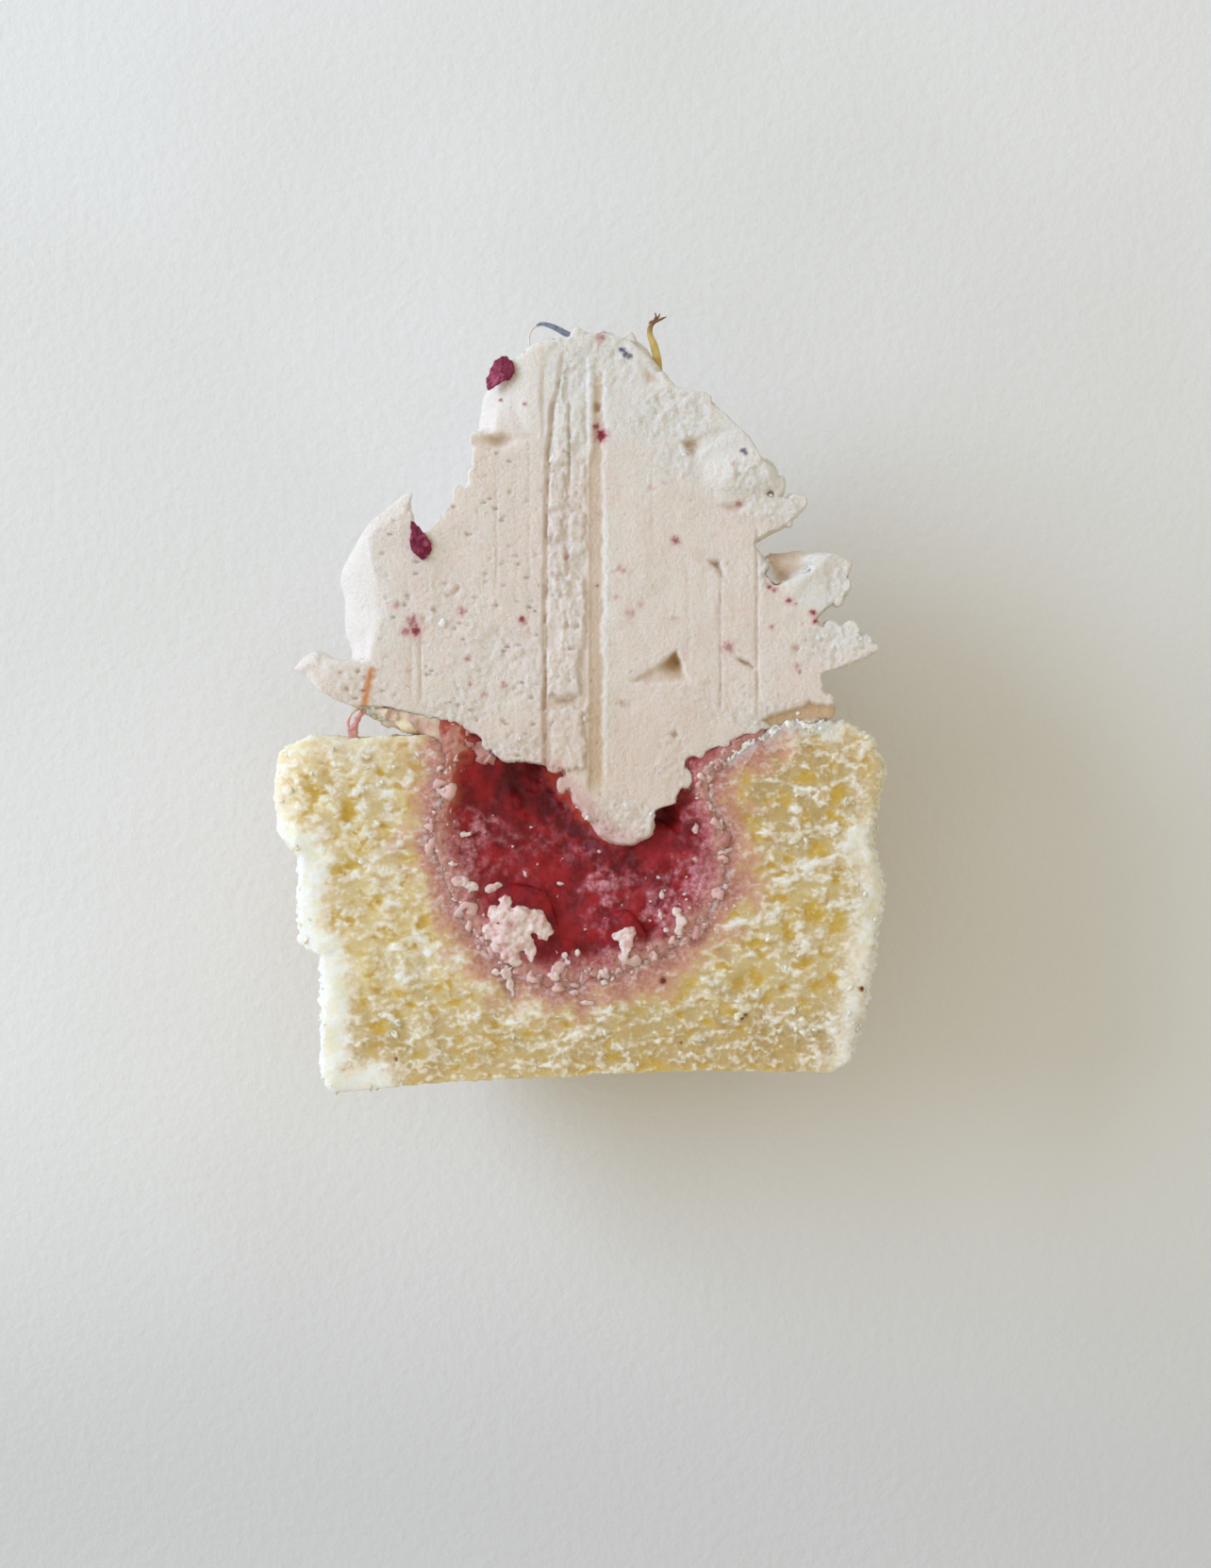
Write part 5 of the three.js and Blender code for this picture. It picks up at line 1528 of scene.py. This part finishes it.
class CUPCAKE_OT_smears(bpy.types.Operator):
    """Wipes lumps of cream over the jam, the cut's lower edge and the sponge's shoulder"""

    bl_idname = "cupcake.smears"
    bl_label = "Smears"

    def execute(self, context):
        for name, balls, under, sunk, shake, clean, pink, blushing in (
            ("jam_smears", SMEARS, ("jam_filling", "sponge_crumb"), 0.4, 0.2, "#EEDACF", "#DDB0A8", 0.6),
            ("shoulder_cream", RESIDUE, ("sponge_crumb", "jam_filling"), 0.9, 0.3, "#FBF5EA", "#F4E8DC", 0.1),
        ):
            obj = dropped_lumps(name, balls, under, sunk, 0.16, shake, 160 + len(balls))
            spots, normals = spots_of(obj), normals_of(obj)
            steep = 1 - eased(normals[:, 2] + 0.4 * rough(spots / 0.6, 170, 2), -0.1, 0.55)
            paint(obj, "low", steep * blushing)
            thinned(obj, SMALL_PIECE, lambda s, n: np.full(len(s), 0.5))
            material = make_smear_material(name.replace("_", " ") + " buttercream", clean, pink)
            finished(obj, material, [])
        return {"FINISHED"}


def crumb_shape(seed):
    """One lumpy crumb about a unit wide."""
    bpy.ops.object.select_all(action="DESELECT")
    bpy.ops.mesh.primitive_ico_sphere_add(subdivisions=2, radius=0.5)
    obj = bpy.context.active_object
    shape = np.array([v.co for v in obj.data.vertices])
    shape *= np.clip(1 + 1.3 * waves(1.9 * shape + seed, seed), 0.3, 2)[:, None]
    faces = [tuple(p.vertices) for p in obj.data.polygons]
    bpy.data.objects.remove(obj)
    return shape, faces


def scattered(name, places, sizes, seed, tones=None):
    """Copies of four crumbs, turned at random, each at a place, of a size in mm and of a tone."""
    chance = np.random.default_rng(seed)
    shapes = [crumb_shape(seed + k) for k in range(4)]
    spots, faces, begun = [], [], 0
    for place, size in zip(places, sizes):
        shape, sides = shapes[chance.integers(4)]
        turn = np.linalg.qr(chance.normal(size=(3, 3)))[0]
        turn[:, 0] *= np.sign(np.linalg.det(turn))
        spots.append(shape @ turn.T * size * chance.uniform(0.5, 1.4, 3) + place)
        faces += [tuple(i + begun for i in side) for side in sides]
        begun += len(shape)
    mesh = bpy.data.meshes.new(name)
    mesh.from_pydata(placed(np.vstack(spots)).tolist(), [], faces)
    obj = bpy.data.objects.new(name, mesh)
    bpy.context.scene.collection.objects.link(obj)
    tones = chance.uniform(0, 1, len(places)) if tones is None else tones
    paint(obj, "tone", np.repeat(tones, [len(s) for s in spots]))
    return obj


def make_crumb_material(name, low, high):
    """Dry crumbs and shreds, each of its own shade."""
    material, tree = new_material(name)
    colour = mixed(tree, read(tree, "tone"), low, high)
    shaded(
        tree, colour, 0.8, pattern(tree, 0.2, 3.0, 0.7), 0.05, scatter=(0.4, (1.0, 0.75, 0.4), 0.4),
        in_Specular_IOR_Level=0.25,
    )
    return material


def picked_places(chance, obj, weight, count, small, large, power=2.0, sunk=0.35):
    """Places on a mesh, picked by weight, and a size for each crumb, which is sunk by a share of it."""
    spots, normals = spots_of(obj), normals_of(obj)
    picked = chance.choice(len(spots), count, replace=False, p=weight / weight.sum())
    sizes = small + (large - small) * chance.random(count) ** power
    return spots[picked] - sunk * normals[picked] * sizes[:, None], sizes


class CUPCAKE_OT_crumbs(bpy.types.Operator):
    """Scatters crumbs over the sponge's cut and edges, and shreds of cream over the cream and the jam"""

    bl_idname = "cupcake.crumbs"
    bl_label = "Crumbs"

    count: IntProperty(name="Crumbs", description="How many crumbs lie on the sponge", default=120, min=1)

    def execute(self, context):
        chance = np.random.default_rng(7)
        sponge = bpy.data.objects["sponge_crumb"]
        (x, y, z), up = spots_of(sponge).T, normals_of(sponge)[:, 2]
        pale, wet = painted(sponge, "pale"), painted(sponge, "soaked")
        face = (z > CUT - 2.5) * (0.04 + pale**2) * (1 - 0.9 * wet) * eased(up, -0.2, 0.5)
        edge = (np.abs(z - CUT + 2) < 3) * (1 - eased(np.abs(up), 0.3, 0.7)) * (1 - wet)
        left = eased(-x, 20, 24) * (1 - eased(y, 24, 28))
        edge *= 0.04 + np.maximum(0.96 * eased(x, 10, 24), 0.7 * left)
        for name, weight, count, small in (
            ("cut_crumbs", face, self.count, 0.35), ("edge_crumbs", edge, 2 * self.count, 0.3),
        ):
            places, sizes = picked_places(chance, sponge, weight, count, small, 0.9, sunk=0.3)
            obj = scattered(name, places, sizes, 200 + count)
            material = make_crumb_material(name.replace("_", " ") + " of sponge", "#EADCB2", "#FBF5E4")
            finished(obj, material, [])
        cream = bpy.data.objects["buttercream"]
        rim = 1 - eased(np.abs(normals_of(cream)[:, 2]), 0.3, 0.8)
        weight = (spots_of(cream)[:, 2] > CUT - 3) * painted(cream, "clotted") ** 2 * (0.15 + rim)
        obj = scattered("cream_shreds", *picked_places(chance, cream, weight, 160, 0.3, 0.9, 2.5), 230)
        finished(obj, make_crumb_material("shreds of buttercream", "#F6EADF", "#FCF6F0"), [])
        jam = bpy.data.objects["jam_filling"]
        (_, y, z), up = spots_of(jam).T, normals_of(jam)[:, 2]
        up = (z > CUT - 2.5) * eased(up, 0.3, 0.8)
        seam = painted(jam, "seam")
        seam *= up * (z > CUT - 0.8) * (y < 36)
        places, sizes, tones = [], [], []
        for weight, count, large, tone in (
            (up * (0.04 + painted(jam, "cloud")), 45, 0.5, 0.9),
            (up * painted(jam, "rim"), 110, 1.1, 0.5),
            (seam, 170, 1.6, 0.7),
        ):
            place, size = picked_places(chance, jam, weight, count, 0.3, large)
            places.append(place)
            sizes.append(size)
            tones.append(np.clip(tone + 0.2 * chance.normal(size=count), 0, 1))
        places, sizes, tones = np.vstack(places), np.concatenate(sizes), np.concatenate(tones)
        obj = scattered("jam_crumbs", places, sizes, 240, tones)
        finished(obj, make_crumb_material("crumbs wet with jam", "#BC6864", "#EFD2C6"), [])
        return {"FINISHED"}


# ---- the stage ----
def make_board_material(settings):
    """A board with matt white emulsion, rolled on, with a faint orange-peel texture, and painted shade that
    darkens it towards the bottom.
    """
    material, tree = new_material("matt emulsion board")
    place = add(tree, "ShaderNodeTexCoord").outputs["Object"]
    along = add(tree, "ShaderNodeSeparateXYZ", links={"Vector": place}).outputs["Y"]
    colour = layered(
        tree, settings.board,
        (ranged(tree, pattern(tree, 60.0, 2.0), 0.35, 0.65), "#E6E6E1"),
        # painted shade: the board darkens towards the bottom
        (ranged(tree, along, -0.1, -0.045, 0.85, 0.0), "#D3D3D2"),
    )
    shaded(tree, colour, 0.6, pattern(tree, 1.4, 3.0, 0.6), 0.12, in_Specular_IOR_Level=0.3)
    return material


def area_light(name, spot, target, size, energy, colour):
    """A soft square light that faces the target."""
    bpy.ops.object.light_add(type="AREA", location=spot)
    light = bpy.context.active_object
    light.name = name
    light.data.size = size
    light.data.energy = energy
    light.data.color = linear(colour)[:3]
    light.rotation_euler = (Vector(target) - Vector(spot)).to_track_quat("-Z", "Y").to_euler()


class CUPCAKE_OT_stage(bpy.types.Operator):
    """Lays the board, sets soft light from the left and hangs the camera overhead"""

    bl_idname = "cupcake.stage"
    bl_label = "Stage"

    def execute(self, context):
        settings = context.scene.half_cupcake.stage
        bpy.ops.object.select_all(action="DESELECT")
        bpy.ops.mesh.primitive_plane_add(size=3.0, location=(0, 0, 0))
        board = context.active_object
        board.name = "board"
        board.data.materials.append(make_board_material(settings))
        middle = Vector(placed([MIDDLE])[0])
        area_light("window", middle + WINDOW, middle, 0.72, 10.5, "#CCDFFF")
        world = bpy.data.worlds.new("pale room")
        world.use_nodes = True
        world.node_tree.nodes["Background"].inputs[0].default_value = linear("#FFF9EA")
        world.node_tree.nodes["Background"].inputs[1].default_value = 0.64
        context.scene.world = world
        context.scene.view_settings.view_transform = "Standard"
        distance = settings.field * settings.lens / SENSOR
        bpy.ops.object.camera_add(location=middle + Vector((0, 0, distance)), rotation=(0, 0, 0))
        camera = context.active_object
        camera.data.lens = settings.lens
        camera.data.sensor_width = SENSOR
        camera.data.sensor_fit = "HORIZONTAL"
        camera.data.clip_start = 0.01
        context.scene.camera = camera
        return {"FINISHED"}


# ---- the panel and the whole ----
OPERATORS = (
    CUPCAKE_OT_sponge, CUPCAKE_OT_jam, CUPCAKE_OT_cream, CUPCAKE_OT_fruit_petals, CUPCAKE_OT_flower_bits,
    CUPCAKE_OT_stained_cream, CUPCAKE_OT_smears, CUPCAKE_OT_crumbs, CUPCAKE_OT_stage,
)


class CUPCAKE_PT_pieces(bpy.types.Panel):
    """Lists every piece of the half cupcake"""

    bl_label = "Half Cupcake"
    bl_idname = "CUPCAKE_PT_pieces"
    bl_space_type = "VIEW_3D"
    bl_region_type = "UI"
    bl_category = "Cupcake"

    def draw(self, context):
        for operator in OPERATORS:
            self.layout.operator(operator.bl_idname)
        for group in ("sponge", "jam", "cream", "stage"):
            settings = getattr(context.scene.half_cupcake, group)
            box = self.layout.box()
            for name in settings.bl_rna.properties.keys():
                if name not in ("rna_type", "name"):
                    box.prop(settings, name)


CLASSES = (
    SpongeSettings, JamSettings, CreamSettings, StageSettings, CupcakeSettings, *OPERATORS, CUPCAKE_PT_pieces,
)


def register():
    for cls in CLASSES:
        bpy.utils.register_class(cls)
    bpy.types.Scene.half_cupcake = PointerProperty(type=CupcakeSettings)


def unregister():
    del bpy.types.Scene.half_cupcake
    for cls in reversed(CLASSES):
        bpy.utils.unregister_class(cls)


def main():
    """Builds every piece in order."""
    register()
    for operator in OPERATORS:
        getattr(bpy.ops.cupcake, operator.bl_idname.split(".")[1])()


if __name__ == "__main__":
    main()
